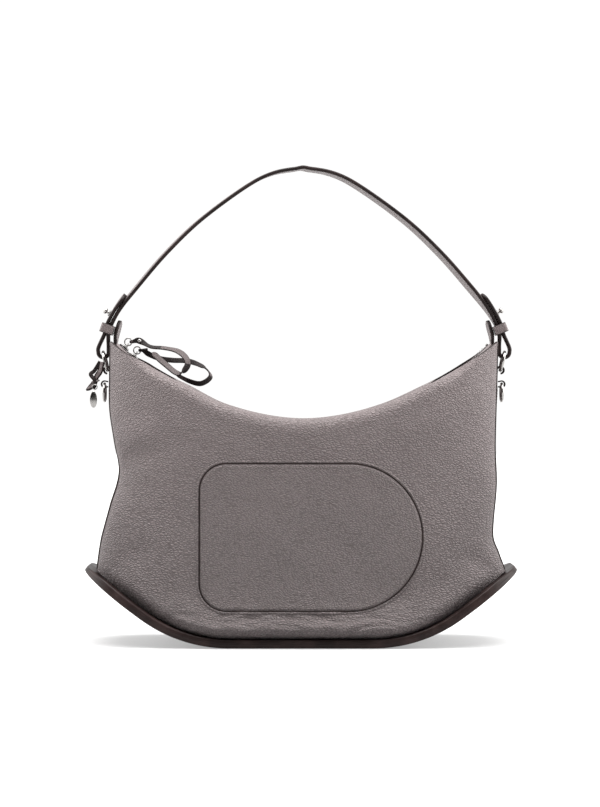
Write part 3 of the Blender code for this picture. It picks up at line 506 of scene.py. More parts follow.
def strap_ring(point, side, up, width, thickness, crown_rise=0.06):
    """Section of a strap: two slightly crowned faces and two rounded edges, with its slots."""
    half_t = thickness / 2
    edge = min(half_t, width / 2)
    flat = max(0.0, width / 2 - edge)
    ring = []
    tags = []
    for face in (1, -1):
        for k in range(FACE_STEPS):
            a = mix(-flat, flat, k / FACE_STEPS) * face
            b = half_t * (1.0 + crown_rise * (1.0 - (a / flat) ** 2 if flat else 0.0)) * face
            ring.append(point + side * a + up * b)
            tags.append(0 if face > 0 else 1)
        for k in range(EDGE_STEPS):
            turn = pi / 2 - pi * k / EDGE_STEPS
            ring.append(point + side * (flat + edge * cos(turn)) * face + up * half_t * sin(turn) * face)
            tags.append(2)
    return ring, tags


def strap(path, width, thickness, across, closed=False):
    """A leather strap along a path; width and across are values or functions of (place, share)."""
    sections = []
    tags = []
    count = len(path)
    for k, point in enumerate(path):
        along = heading(path, k, closed)
        share = k / (count - 1)
        side = across(point, share) if callable(across) else Vector(across)
        side = (side - along * side.dot(along)).normalized()
        wide = width(point, share) if callable(width) else width
        ring, tags = strap_ring(point, side, along.cross(side), wide, thickness)
        sections.append(ring)
    return sweep(sections, closed, tags)


def wire(path, radius, sides=12, closed=False, squash=1.0):
    """A round wire or bead along a path; squash flattens it along its second direction."""
    sections = []
    count = len(path)
    side = None
    for k, point in enumerate(path):
        along = heading(path, k, closed)
        if side is None:
            side = Vector((0.0, 1.0, 0.0)) if abs(along.y) < 0.8 else Vector((0.0, 0.0, 1.0))
        side = (side - along * side.dot(along)).normalized()
        up = along.cross(side)
        r = radius(k / (count - 1)) if callable(radius) else radius
        sections.append(loop_of(point, side * r * squash, up * r, sides))
    return sweep(sections, closed)


def torus(centre, axis, radius, thick, steps=96, sides=20):
    axis, first, second = square_to(axis)
    sections = []
    for k in range(steps):
        turn = 2 * pi * k / steps
        out = first * cos(turn) + second * sin(turn)
        sections.append(loop_of(Vector(centre) + out * radius, out * thick, axis * thick, sides))
    return sweep(sections, closed=True)


def turned(centre, axis, profile, sides=40, steps=5):
    """Solid of revolution through (radius, distance along the axis) points, rounded between them."""
    axis, first, second = square_to(axis)
    sections = []
    for p in spline([(r, a, 0.0) for r, a in profile], steps):
        r = max(p.x, 0.00002)
        sections.append(loop_of(Vector(centre) + axis * p.y, first * r, second * r, sides))
    return sweep(sections)


def stitch(build, centre, along, up, length, radius):
    """One sunk thread stitch: a short bead with pointed ends."""
    side = along.cross(up)
    sections = []
    for f in (-1.0, -0.8, -0.35, 0.35, 0.8, 1.0):
        r = radius * sqrt(max(0.02, 1.0 - f * f))
        middle = centre + along * (f * length / 2) - up * (radius * 0.7 * f * f)
        sections.append(loop_of(middle, side * r, up * r, 6))
    build.add(*sweep(sections))


def sew(name, body, lines, up, pitch, length, radius):
    """Stitches along lines, pitch apart; up is their outward direction."""
    row = Build()
    for path in lines:
        line = evenly(path, pitch)
        for a, b in zip(line, line[1:]):
            stitch(row, (a + b) / 2, (b - a).normalized(), up, length, radius)
    row.done(name, [THREAD_MAT], body)


def one(name, shape, mats, body, stands_for=(), sharp=50.0):
    build = Build()
    build.add(*shape)
    return build.done(name, mats, body, stands_for, sharp)


# ---------------------------------------------------------------- base plank
def plank_height(x, lift):
    """Height of the surface that lies lift above the plank's underside."""
    x = abs(x)
    bend = BEND_RADIUS - lift
    if x <= FLAT_HALF_LENGTH:
        return lift
    if x - FLAT_HALF_LENGTH <= bend * sin(BEND_ANGLE):
        return BEND_RADIUS - sqrt(bend ** 2 - (x - FLAT_HALF_LENGTH) ** 2)
    centre_x = FLAT_HALF_LENGTH + (BEND_RADIUS - WING_RADIUS) * sin(BEND_ANGLE)
    centre_z = BEND_RADIUS + (WING_RADIUS - BEND_RADIUS) * cos(BEND_ANGLE)
    return centre_z - sqrt((WING_RADIUS - lift) ** 2 - (x - centre_x) ** 2)


def plank_slope(x):
    """Angle of the plank's underside at x, positive where it rises to the right."""
    sign = 1.0 if x > 0 else -1.0
    x = abs(x)
    if x <= FLAT_HALF_LENGTH:
        return 0.0
    if x - FLAT_HALF_LENGTH <= BEND_RADIUS * sin(BEND_ANGLE):
        return sign * asin((x - FLAT_HALF_LENGTH) / BEND_RADIUS)
    centre_x = FLAT_HALF_LENGTH + (BEND_RADIUS - WING_RADIUS) * sin(BEND_ANGLE)
    return sign * asin((x - centre_x) / WING_RADIUS)


def plank_outline(inset, count=150):
    """Half outline of the plank seen from above, from its left tip to its right tip."""
    corner = PLANK_CORNER - inset
    straight = PLANK_HALF_LENGTH - PLANK_CORNER
    depth = PLANK_HALF_DEPTH - inset
    points = []
    for k in range(41):
        turn = pi / 2 * k / 40
        points.append((-straight - corner * cos(turn), depth - corner + corner * sin(turn)))
    for k in range(1, count):
        points.append((mix(-straight, straight, k / count), depth))
    points += [(-x, y) for x, y in reversed(points[:41])]
    return points


def build_plank():
    high = PLANK_THICKNESS
    layers = ((0.0, 0.0016), (0.0002, 0.0007), (0.0007, 0.0002), (0.0013, 0.0), (0.0036, 0.0),
              (0.0038, 0.00018), (0.0040, 0.0), (high - 0.0012, 0.0), (high - 0.0006, 0.0002),
              (high - 0.0002, 0.0006), (high, 0.0013), (high, 0.0030), (high + 0.0001, 0.0038))
    rings = []
    for lift, inset in layers:
        half = plank_outline(inset)
        ring = []
        for side in (-1, 1):
            walk = half if side < 0 else list(reversed(half))[1:-1]
            for x, y in walk:
                angle = plank_slope(x)
                thin = 1.0 - 0.28 * smooth((abs(x) - 0.170) / 0.019)
                ring.append(Vector((x, side * y, plank_height(x, 0.0)))
                            + Vector((-sin(angle), 0.0, cos(angle))) * lift * thin)
        rings.append(ring)
    verts = [p for ring in rings for p in ring]
    size = len(rings[0])
    front = len(plank_outline(0.0))
    faces = []
    for k in range(len(rings) - 1):
        for j in range(size):
            m = (j + 1) % size
            faces.append((k * size + j, k * size + m, (k + 1) * size + m, (k + 1) * size + j))
    for base, flip in ((0, True), ((len(rings) - 1) * size, False)):
        for j in range(front - 1):
            a, b = base + j, base + j + 1
            c = base + (size - j - 1 if j + 1 < front - 1 else front - 1)
            d = base + (size - j if j > 0 else 0)
            quad = [a, b] + ([c] if c != b else []) + ([d] if d != a else [])
            faces.append(tuple(reversed(quad)) if flip else tuple(quad))
    one("plank", (verts, faces), [PLANK_MAT], "bag", ("base_plank",), 35.0)
    for place in frame["nodes"]["base_stiffener"].material_slots:
        place.material = BOARD_MAT


# ---------------------------------------------------------------- body shell
@lru_cache(maxsize=None)
def roll_turn(u):
    """How far the rim turns inwards: fully in the middle, not at all at the corners."""
    return ROLL_TURN * smooth((1.0 - abs(u)) / 0.42)


@lru_cache(maxsize=None)
def roll_path(u, steps):
    """Steps (inwards, up) of the rim, from the top of the wall to the panel's edge."""
    turn = roll_turn(u)
    length = ROLL_STRAIGHT + ROLL_RADIUS * turn + 0.011 * turn / ROLL_TURN
    inward, up = 0.0, 0.0
    path = [(0.0, 0.0)]
    fine = 48 // steps
    for k in range(steps * fine):
        share = (k + 0.5) / (steps * fine)
        angle = turn * smooth(share * 1.25)
        inward += length / (steps * fine) * sin(angle)
        up += length / (steps * fine) * cos(angle)
        if (k + 1) % fine == 0:
            path.append((inward, up))
    return tuple(path)


@lru_cache(maxsize=None)
def roll_rise(u):
    return max(up for _, up in roll_path(u, 6))


def mouth_height(x):
    out = abs(x - LEAN) / TOP_EDGE_X
    rise = RIM_RISE_RIGHT if x > LEAN else RIM_RISE_LEFT
    rise *= smooth((out - 0.42) / 0.2) * smooth((0.93 - out) / 0.12)
    return SAG_Z + (CORNER_Z - SAG_Z) * min(1.2, out) ** SAG_POWER + rise


def crown(u):
    return max(0.0, 1.0 - abs(u) ** 3) ** 0.55


def wall_top(x, u):
    return mouth_height(x) - roll_rise(u)


def edge_x(t):
    return -curve_through(LEFT_EDGE, t), curve_through(RIGHT_EDGE, t)


def bump_at(x, z, cx, cz, rx, rz, lean=0.0):
    """A round hump of height 1 at (cx, cz), leaning by lean."""
    along = (x - cx) / rx
    over = (z - cz - (x - cx) * lean) / rz
    return exp(-along * along - over * over)


def relief(side, x, z):
    """How far the slack leather stands out from, or sinks below, the smooth wall."""
    seed = 3.0 if side < 0 else 11.0
    out = 0.0016 * noise.noise(Vector((x * 11.0, z * 13.0, seed)))
    out += 0.0005 * noise.noise(Vector((x * 38.0 + z * 14.0, z * 44.0, seed + 5.0)))
    low = smooth((0.036 - z) / 0.008)
    out += 0.00150 * low * noise.noise(Vector((x * 60.0, z * 210.0 + 0.8 * sin(x * 70.0), seed + 9.0)))
    out += 0.0040 * smooth((0.150 - abs(x)) / 0.05) * exp(-((z - 0.0150) / 0.0080) ** 2)
    if side < 0:
        out -= 0.0022 * bump_at(x, z, -0.150, 0.160, 0.030, 0.0120, 0.25)
        out += 0.0010 * bump_at(x, z, -0.146, 0.178, 0.030, 0.0120, 0.30)
        out -= 0.0022 * bump_at(x, z, 0.158, 0.070, 0.018, 0.0100, -0.35)
        out -= 0.0014 * bump_at(x, z, -0.150, 0.075, 0.022, 0.0120, 0.55)
    return out


def calm(u, t):
    """The relief's share: none at the corners, the base and the rim."""
    return smooth(crown(u) / 0.5) * smooth(t / 0.03) * smooth((1.0 - t) / 0.12)


def wall_point(side, u, t, inset=0.0, lift=GAP, soft=0.0):
    """A point of the front (side -1) or back (side 1) wall, t from base to rim."""
    left, right = edge_x(t)
    x = mix(left + inset, right - inset, (u + 1) / 2)
    low = plank_height(x, PLANK_THICKNESS) + lift
    z = mix(low, wall_top(x, u), t)
    g = curve_through(SIDE_DEPTH, t)
    m = curve_through(MIDDLE_DEPTH, t)
    y = g + (m - g - inset) * crown(u)
    if soft:
        y += soft * relief(side, x, z) * calm(u, t)
    return Vector((x, side * y, z))


def build_side_seam(word, end):
    """Painted cut edge where the front wall meets the gusset."""
    path = []
    for k in range(121):
        t = mix(0.01, 0.985, k / 120)
        path.append(wall_point(-1, end, t) + Vector((end * 0.0002, 0.0, roll_rise(end) * t)))
    one("side_seam_" + word, wire(path, 0.0009, 10), [PAINT_MAT], "bag")


def across_values(count):
    return [sin(pi / 2 * (2 * k / count - 1)) for k in range(count + 1)]


def normals(grid):
    out = []
    for r, row in enumerate(grid):
        line = []
        for c in range(len(row)):
            du = row[min(c + 1, len(row) - 1)] - row[max(c - 1, 0)]
            dv = grid[min(r + 1, len(grid) - 1)][c] - grid[max(r - 1, 0)][c]
            line.append(du.cross(dv).normalized())
        out.append(line)
    return out


WALL_COLUMNS = 210
WALL_ROWS = 150
RIM_STEPS = 16


def build_wall(word, side):
    us = across_values(WALL_COLUMNS)
    grid = [[wall_point(side, u, k / WALL_ROWS, soft=1.0) for u in us] for k in range(WALL_ROWS + 1)]
    for k in range(1, RIM_STEPS + 1):
        row = []
        for c, u in enumerate(us):
            inward, up = roll_path(u, RIM_STEPS)[k]
            row.append(grid[WALL_ROWS][c] + Vector((0.0, -side * inward, up)))
        grid.append(row)
    if side > 0:
        grid = [list(reversed(row)) for row in grid]
    inner = []
    for row, line in zip(grid, normals(grid)):
        points = []
        for c, (point, normal) in enumerate(zip(row, line)):
            if c in (0, len(row) - 1):
                normal = Vector((normal.x, 0.0, 0.0)).normalized()
            points.append(point - normal * LEATHER)
        inner.append(points)
    for k in range(len(grid[0])):
        inner[0][k].z = grid[0][k].z + 0.0001
    one(word + "_wall", shell(grid, inner), [LEATHER_MAT], "bag", (word + "_panel",), 70.0)
    rim = [(a + b) / 2 for a, b in zip(grid[-1], inner[-1])]
    one("rim_paint_" + word, wire(rim, 0.00085, 12, squash=0.9), [PAINT_MAT], "bag")
    for end, column in (("left", 0), ("right", -1)) if side < 0 else (("right", 0), ("left", -1)):
        seam = [row[column] for row in grid[:WALL_ROWS + RIM_STEPS]]
        one("side_seam_%s_%s" % (word, end), wire(seam, 0.0008, 10), [STRAP_MAT], "bag")


def gusset_point(end, w, t, inset=0.0, soft=0.0):
    """A point of the left (end -1) or right (end 1) side panel."""
    left, right = edge_x(t)
    edge = right if end > 0 else left
    g = curve_through(SIDE_DEPTH, t) - GAP
    x = edge + end * (curve_through(GUSSET_BULGE, t) * (1.0 - w * w) - inset)
    low = plank_height(edge, PLANK_THICKNESS) + GAP
    z = mix(low, wall_top(edge, 1.0), t)
    if t == 0.0:
        z = plank_height(x, PLANK_THICKNESS) + GAP
    if soft:
        wave = noise.noise(Vector((w * 1.3, z * 38.0, 20.0 + end)))
        x += end * soft * 0.0012 * (1.0 - w * w) * wave * smooth(t / 0.1)
    return Vector((x, w * g, z))


def build_gusset(word, end):
    ws = [mix(-1.0, 1.0, k / 30) for k in range(31)]
    outer = [[gusset_point(end, w, k / 110, 0.0, 1.0) for w in ws] for k in range(111)]
    inner = [[gusset_point(end, w, k / 110, LEATHER, 1.0) for w in ws] for k in range(111)]
    one("side_panel_" + word, shell(outer, inner), [LEATHER_MAT], "bag",
        ("gusset_" + word,), 70.0)


# ---------------------------------------------------------------- inlaid front panel
def front_surface(x, z, lift):
    """A point on the front wall's outer face at x and z, raised by lift."""
    t = 0.5
    u = 0.0
    for _ in range(4):
        left, right = edge_x(t)
        u = 2 * (x - left) / (right - left) - 1
        low = plank_height(x, PLANK_THICKNESS) + GAP
        t = (z - low) / (wall_top(x, round(u, 3)) - low)
    g = curve_through(SIDE_DEPTH, t)
    m = curve_through(MIDDLE_DEPTH, t)
    out = relief(-1, x, z) * calm(u, t)
    return Vector((x, -(g + (m - g) * crown(u)) - out - lift, z))


def inlay_span(share):
    """Lowest and highest z of the inlaid panel at a share of its width."""
    x = mix(INLAY_LEFT, INLAY_RIGHT, share)
    if x < INLAY_LEFT + INLAY_CORNER:
        into = INLAY_LEFT + INLAY_CORNER - x
        reach = INLAY_HALF - INLAY_CORNER + sqrt(max(0.0, INLAY_CORNER ** 2 - into ** 2))
    elif x > INLAY_RIGHT - INLAY_HALF:
        reach = sqrt(max(0.0, INLAY_HALF ** 2 - (x - (INLAY_RIGHT - INLAY_HALF)) ** 2))
    else:
        reach = INLAY_HALF
    return x, INLAY_MIDDLE - reach, INLAY_MIDDLE + reach


def inlay_depth(x, z):
    """Distance of a point inside the inlaid panel from its outline."""
    rise = abs(z - INLAY_MIDDLE)
    round_x = INLAY_RIGHT - INLAY_HALF
    if x > round_x:
        return INLAY_HALF - hypot(x - round_x, rise)
    into_x = INLAY_LEFT + INLAY_CORNER - x
    into_z = rise - (INLAY_HALF - INLAY_CORNER)
    if into_x > 0 and into_z > 0:
        return INLAY_CORNER - hypot(into_x, into_z)
    return min(x - INLAY_LEFT, INLAY_HALF - rise)


def inlay_outline(out, lift, step=0.0012):
    """Line round the inlaid panel, out beyond its outline and lift above the wall."""
    flat = []
    for cx, cz, r, a, b in ((INLAY_RIGHT - INLAY_HALF, INLAY_MIDDLE, INLAY_HALF, -90, 90),
                            (INLAY_LEFT + INLAY_CORNER, INLAY_HIGH - INLAY_CORNER, INLAY_CORNER, 90, 180),
                            (INLAY_LEFT + INLAY_CORNER, INLAY_LOW + INLAY_CORNER, INLAY_CORNER, 180, 270)):
        for k in range(61):
            turn = radians(mix(a, b, k / 60))
            flat.append(Vector((cx + (r + out) * cos(turn), 0.0, cz + (r + out) * sin(turn))))
    flat.append(flat[0])
    return [front_surface(p.x, p.z, lift) for p in evenly(flat, step)]


def build_inlay():
    columns, rows = 150, 84
    outer = []
    inner = []
    for r in range(rows + 1):
        high_row = []
        base_row = []
        v = (1 - cos(pi * r / rows)) / 2
        for c in range(columns + 1):
            share = mix(0.0004, 0.9996, (1 - cos(pi * c / columns)) / 2)
            x, low, high = inlay_span(share)
            z = mix(low, high, v)
            edge = smooth(inlay_depth(x, z) / 0.0022)
            high_row.append(front_surface(x, z, 0.0004 + 0.0012 * edge ** 0.7))
            base_row.append(front_surface(x, z, 0.0002))
        outer.append(high_row)
        inner.append(base_row)
    one("inlaid_panel", shell(outer, inner), [PANEL_MAT], "bag", ("front_inlay_panel",), 60.0)
    one("inlay_groove", wire(inlay_outline(0.0004, 0.0004)[:-1], 0.00062, 8, True), [PAINT_MAT], "bag")
    one("inlay_lip", wire(inlay_outline(0.0019, 0.0001)[:-1], 0.0010, 10, True, 0.75), [LEATHER_MAT], "bag")
    sew("inlay_stitches", "bag", [inlay_outline(-0.0034, 0.00162)], FRONTWARD, 0.0029, 0.0021, 0.00030)


# ---------------------------------------------------------------- lining and pocket
LINING_INSET = 0.0042
LINING_THICKNESS = 0.0008
LINING_FLOOR = 0.0036
LINING_TOP = 0.94
LINING_COLUMNS = 64


def lining_loop(t, inset, floor):
    """One closed loop of the lining, anticlockwise from above."""
    us = across_values(LINING_COLUMNS)
    loop = [wall_point(-1, u * 0.975, t, inset, floor) for u in us]
    for w in (-0.4, 0.4):
        loop.append(gusset_point(1, w * 0.8, t, inset + 0.001))
    loop += [wall_point(1, u * 0.975, t, inset, floor) for u in reversed(us)]
    for w in (0.4, -0.4):
        loop.append(gusset_point(-1, w * 0.8, t, inset + 0.001))
    for p in loop:
        p.z = max(p.z, plank_height(p.x, PLANK_THICKNESS) + floor)
        slack = noise.noise(Vector((p.x * 30.0, p.y * 30.0, p.z * 22.0))) * smooth(t / 0.2)
        p.y -= (1 if p.y > 0 else -1) * 0.0009 * abs(slack)
    return loop


def build_lining():
    levels = [mix(0.0, LINING_TOP, (k / 40) ** 1.3) for k in range(41)]
    outer = [lining_loop(t, LINING_INSET, LINING_FLOOR) for t in levels]
    inner = [lining_loop(t, LINING_INSET + LINING_THICKNESS, LINING_FLOOR + LINING_THICKNESS)
             for t in levels]
    size = len(outer[0])
    verts = [p for loop in outer for p in loop] + [p for loop in inner for p in loop]
    half = size * len(levels)
    faces = []
    for k in range(len(levels) - 1):
        for j in range(size):
            a = k * size + j
            b = k * size + (j + 1) % size
            faces.append((a, b, b + size, a + size))
            faces.append((half + b, half + a, half + a + size, half + b + size))
    top = (len(levels) - 1) * size
    for j in range(size):
        a = top + j
        b = top + (j + 1) % size
        faces.append((a, b, half + b, half + a))
    front = LINING_COLUMNS + 1
    for base, flip in ((0, False), (half, True)):
        strips = []
        for j in range(front - 1):
            back = size - 3 - j
            strips.append((base + j, base + back, base + back - 1, base + j + 1))
        strips.append((base + front - 1, base + front + 2, base + front + 1, base + front))
        strips.append((base + 0, base + size - 1, base + size - 2, base + size - 3))
        faces += [tuple(reversed(s)) if flip else s for s in strips]
    one("lining_bag", (verts, faces), [LINING_MAT], "bag", ("lining",), 60.0)
    inset = LINING_INSET + LINING_THICKNESS + 0.0014
    outer = []
    inner = []
    for r in range(41):
        t = mix(0.30, 0.78, r / 40)
        us = [mix(0.45, -0.45, c / 60) for c in range(61)]
        outer.append([wall_point(1, u, t, inset, LINING_FLOOR) for u in us])
        inner.append([wall_point(1, u, t, inset + 0.0009 + 0.0006 * (t > 0.765), LINING_FLOOR) for u in us])
    one("slip_pocket", shell(outer, inner), [LINING_MAT], "bag", ("inner_pocket",))


# ---------------------------------------------------------------- zip
def zip_point(angle, y, rise):
    """A point beside the zip's arc, rise above the teeth towards the arc's centre."""
    radius = ZIP_RADIUS - rise
    return Vector((LEAN + radius * sin(angle), y, ZIP_PIVOT_Z - radius * cos(angle)))


def frame_at(angle):
    """Unit vectors along and up at a place on the zip."""
    return Vector((cos(angle), 0.0, sin(angle))), Vector((-sin(angle), 0.0, cos(angle)))


def rim_share(x):
    """The wall's share of width at x on the rim, from -1 to 1."""
    left, right = edge_x(1.0)
    return round(2 * (x - left) / (right - left) - 1, 4)


def rim_end(side, x):
    """Where the wall's rim ends, on the zip side, at x."""
    u = rim_share(x)
    inward, up = roll_path(u, 6)[-1]
    return wall_point(side, u, 1.0) + Vector((0.0, -side * inward, up))


def roll_share(x):
    """How much of its full turn the rim has at x."""
    return smooth(roll_turn(rim_share(x)) / ROLL_TURN)


def build_zip_cloth(word, side):
    bands = []
    tapes = []
    for k in range(181):
        angle = mix(-ZIP_HALF_ANGLE, ZIP_HALF_ANGLE, k / 180)
        low = zip_point(angle, side * (ZIP_TAPE_HALF + GAP), 0.0010)
        rim = rim_end(side, low.x)
        rolled = roll_share(low.x)
        tuck = mix(-LEATHER - 0.0012, 0.0035, rolled)
        out_y = side * max(ZIP_TAPE_HALF + 0.0016, abs(rim.y) + tuck)
        far = Vector((low.x, out_y, max(low.z - mix(0.001, 0.0035, rolled), rim.z - 0.0030)))
        under = []
        over = []
        for j in range(13):
            f = j / 12
            sag = Vector((0.0, 0.0, -0.0006 * sin(pi * f)))
            point = low.lerp(far, f) + sag
            under.append(point)
            over.append(point + Vector((0.0, 0.0, 0.0014 * sqrt(max(0.05, 1.0 - (2 * f - 1) ** 10)))))
        bands.append(under + list(reversed(over)))
        tape = []
        for y, h in ((0.0004, -0.0002), (ZIP_TAPE_HALF, -0.0002), (ZIP_TAPE_HALF, 0.0006),
                     (0.0062, 0.00075), (0.0045, 0.0006), (0.0034, 0.0009), (0.0004, 0.0006)):
            tape.append(zip_point(angle, side * y, h))
        tapes.append(tape)
    one("zip_facing_" + word, sweep(bands), [STRAP_MAT], "bag", ("zip_band_" + word,), 60.0)
    one("zip_cloth_" + word, sweep(tapes), [TAPE_MAT], "bag", ("zip_tape_" + word,))
    line = [zip_point(mix(-0.79, 0.79, k / 120), side * 0.0112, 0.00245) for k in range(121)]
    sew("zip_stitches_" + word, "bag", [line], UPWARD, 0.0030, 0.0022, 0.00026)


TEETH_PITCH = 0.0021


def build_teeth(word, side):
    row = Build()
    count = int(2 * ZIP_TEETH_ANGLE * ZIP_RADIUS / TEETH_PITCH)
    for k in range(count):
        if (k + (side > 0)) % 2:
            continue
        angle = mix(-ZIP_TEETH_ANGLE, ZIP_TEETH_ANGLE, (k + 0.5) / count)
        along, up = frame_at(angle)
        middle = zip_point(angle, 0.0, 0.0)
        sections = []
        for y, half, low, high in ((-0.0005, 0.00045, 0.0011, 0.0019), (-0.0002, 0.00075, 0.0009, 0.0021),
                                   (0.0010, 0.00060, 0.0009, 0.0021), (0.0025, 0.00085, 0.0007, 0.0021),
                                   (0.0028, 0.00060, 0.0008, 0.0019)):
            base = middle + Vector((0.0, side * y, 0.0))
            soft = 0.0002
            sections.append([base + along * a + up * h for a, h in (
                (-half + soft, low), (half - soft, low), (half, low + soft), (half, high - soft),
                (half - soft, high), (-half + soft, high), (-half, high - soft), (-half, low + soft))])
        row.add(*sweep(sections))
    row.done("teeth_" + word, [ZIP_METAL_MAT], "bag", ("zip_teeth_" + word,))


SLIDER_HALF_LENGTH = 0.0034
SLIDER_HALF_WIDTH = 0.0042
SLIDER_TOP = 0.0046
EYE_RISE = 0.0062
EYE_RADIUS = 0.0019
PULL_RING_RADIUS = 0.0032
PULL_RING_WIRE = 0.00055
PULL_STANDS = Vector((0.10, 0.0, 1.0)).normalized()


# direction of each lace's width at shares of its length, and the stretches that show its dark side
LACE_TURNS = {
    "a": ((0.0, (0.0, 0.0, 1.0)), (0.12, (0.0, 0.0, 1.0)), (0.24, (0.0, 1.0, 0.50)),
          (0.38, (0.2, 1.0, 0.60)), (0.50, (1.0, 0.30, 0.35)), (0.62, (1.0, 0.35, 0.0)),
          (0.76, (0.50, 0.60, 0.65)), (1.0, (0.2, 0.5, 0.9))),
    "b": ((0.0, (0.0, 0.0, 1.0)), (0.12, (0.0, 0.0, 1.0)), (0.28, (0.1, 0.25, 1.0)),
          (0.42, (0.5, 0.30, 0.9)), (0.49, (0.6, 0.25, 0.8)), (0.56, (1.0, 0.30, 0.2)),
          (0.64, (0.6, 0.25, -0.7)), (0.76, (0.15, 0.3, -1.0)), (1.0, (0.4, 0.5, -0.9)))}
LACE_DARK = {"a": ((0.10, 0.34), (0.62, 0.72)), "b": ((0.0, 0.61), (0.69, 0.90))}


def eye_centre(angle):
    return zip_point(angle, 0.0, 0.0) + frame_at(angle)[1] * EYE_RISE


def pull_centre(angle):
    return eye_centre(angle) + PULL_STANDS * PULL_RING_RADIUS


def build_slider(letter, angle):
    """A slider: plate over the teeth, two cheeks beside them and a wire eye on top."""
    along, up = frame_at(angle)
    inner = 0.0033
    shape = Build()
    sections = []
    for k in range(17):
        f = 2 * k / 16 - 1
        narrow = 1.0 - 0.16 * f ** 4
        drop = 0.0007 * f ** 6
        middle = zip_point(angle, 0.0, 0.0) + along * (SLIDER_HALF_LENGTH * f)
        wide = SLIDER_HALF_WIDTH * narrow
        top = SLIDER_TOP - drop
        ring = []
        for y, h in ((-wide, 0.0026), (-wide + 0.0002, 0.0024), (-inner, 0.0024), (-inner, 0.0030),
                     (inner, 0.0030), (inner, 0.0024), (wide - 0.0002, 0.0024), (wide, 0.0026),
                     (wide, 0.0038 - drop), (wide - 0.0004, 0.0042 - drop), (0.0022, 0.0044 - drop), (0.0010, top), (-0.0010, top),
                     (-0.0022, 0.0044 - drop), (-wide + 0.0004, 0.0042 - drop), (-wide, 0.0038 - drop)):
            ring.append(middle + Vector((0.0, y, 0.0)) + up * h)
        sections.append(ring)
    shape.add(*sweep(sections))
    eye = eye_centre(angle)
    route = [eye + Vector((0.0, -EYE_RADIUS, 0.0)) - up * 0.0020]
    for k in range(25):
        turn = pi * k / 24
        route.append(eye + FRONTWARD * EYE_RADIUS * cos(turn) + PULL_STANDS * EYE_RADIUS * sin(turn))
    route.append(eye + Vector((0.0, EYE_RADIUS, 0.0)) - up * 0.0020)
    shape.add(*wire(route, 0.0005, 14))
    body = "slider_" + letter
    shape.done("slider_%s_metal" % letter, [METAL_MAT], body, ("zip_slider_" + letter,))


def build_pull(letter, angle, route, wide):
    """A wire ring standing in the slider's eye and a leather lace through it."""
    body = "pull_" + letter
    centre = pull_centre(angle)
    one("ring_of_pull_" + letter, torus(centre, (0.0, 1.0, 0.0), PULL_RING_RADIUS, PULL_RING_WIRE, 64, 14),
        [METAL_MAT], body, ("pull_ring_" + letter,))
    hold = centre + Vector((PULL_RING_RADIUS, 0.0, 0.0))
    fold = [hold + Vector((0.0060, LACE_TURN, 0.0008)), hold + Vector((0.0030, LACE_TURN, 0.0004))]
    for k in range(7):
        turn = radians(mix(90.0, 270.0, k / 6))
        fold.append(hold + Vector((cos(turn), sin(turn), 0.0)) * LACE_TURN)
    path = evenly(spline(fold + list(route), 12), FINE)
    whole = FINE * (len(path) - 1)

    def across(point, share):
        turns = LACE_TURNS[letter]
        for (a, first), (b, second) in zip(turns, turns[1:]):
            if share <= b:
                return Vector(first).lerp(Vector(second), smooth((share - a) / (b - a)))
        return Vector(turns[-1][1])

    def width(point, share):
        tip = sqrt(max(0.05, 1.0 - max(0.0, 1.0 - (1.0 - share) * whole / 0.0040) ** 2))
        return mix(LACE_FOLD_WIDTH, wide, smooth((share * whole - 0.011) / 0.007)) * tip

    verts, faces, slots = strap(path, width, LACE_THICKNESS, across)
    sides = 2 * (FACE_STEPS + EDGE_STEPS)
    for k in range(len(slots) - 2):
        share = k // sides / (len(path) - 1)
        if slots[k] < 2:
            slots[k] = int(any(low < share < high for low, high in LACE_DARK[letter]))
    one("lace_" + letter, (verts, faces, slots), [LACE_MAT, DARK_LEATHER_MAT, PAINT_MAT], body,
        ("pull_lace_" + letter,))


def build_zip():
    for side, word in ((-1, "front"), (1, "back")):
        build_zip_cloth(word, side)
        build_teeth(word, side)
    for end, word in ((-1, "left"), (1, "right")):
        along, up = frame_at(end * ZIP_STOP_ANGLE)
        middle = zip_point(end * ZIP_STOP_ANGLE, 0.0, 0.0)
        sections = []
        for f in (-1.0, -0.7, 0.7, 1.0):
            soft = 0.0003 if abs(f) == 1.0 else 0.0
            centre = middle + along * (0.0010 * f)
            sections.append([centre + Vector((0.0, y * (1 - soft * 100), 0.0)) + up * h for y, h in (
                (-0.0032, 0.0013), (-0.0029, 0.0010), (0.0029, 0.0010), (0.0032, 0.0013),
                (0.0032, 0.0026 - soft), (0.0028, 0.0030 - soft),
                (-0.0028, 0.0030 - soft), (-0.0032, 0.0026 - soft))])
        one("end_stop_" + word, sweep(sections), [ZIP_METAL_MAT], "bag", ("zip_stop_" + word,))
    build_slider("a", SLIDER_A_ANGLE)
    build_slider("b", SLIDER_B_ANGLE)
    build_pull("a", SLIDER_A_ANGLE, LACE_A, 0.0056)
    build_pull("b", SLIDER_B_ANGLE, LACE_B, 0.0048)
    head = Vector(LACE_A[1]) + Vector((0.0, -0.0021, 0.0))
    one("pin_a", turned(head, (0.0, -1.0, 0.0), ((0.0016, 0.0), (0.0017, 0.0006), (0.0014, 0.0013),
                                                 (0.0008, 0.0017), (0.0001, 0.0018))),
        [METAL_MAT], "pull_a", ("pull_pin_a",))


# ---------------------------------------------------------------- ends: ears, tabs, rings
STRAP_FACES = [STRAP_MAT, STRAP_MAT, PAINT_MAT]


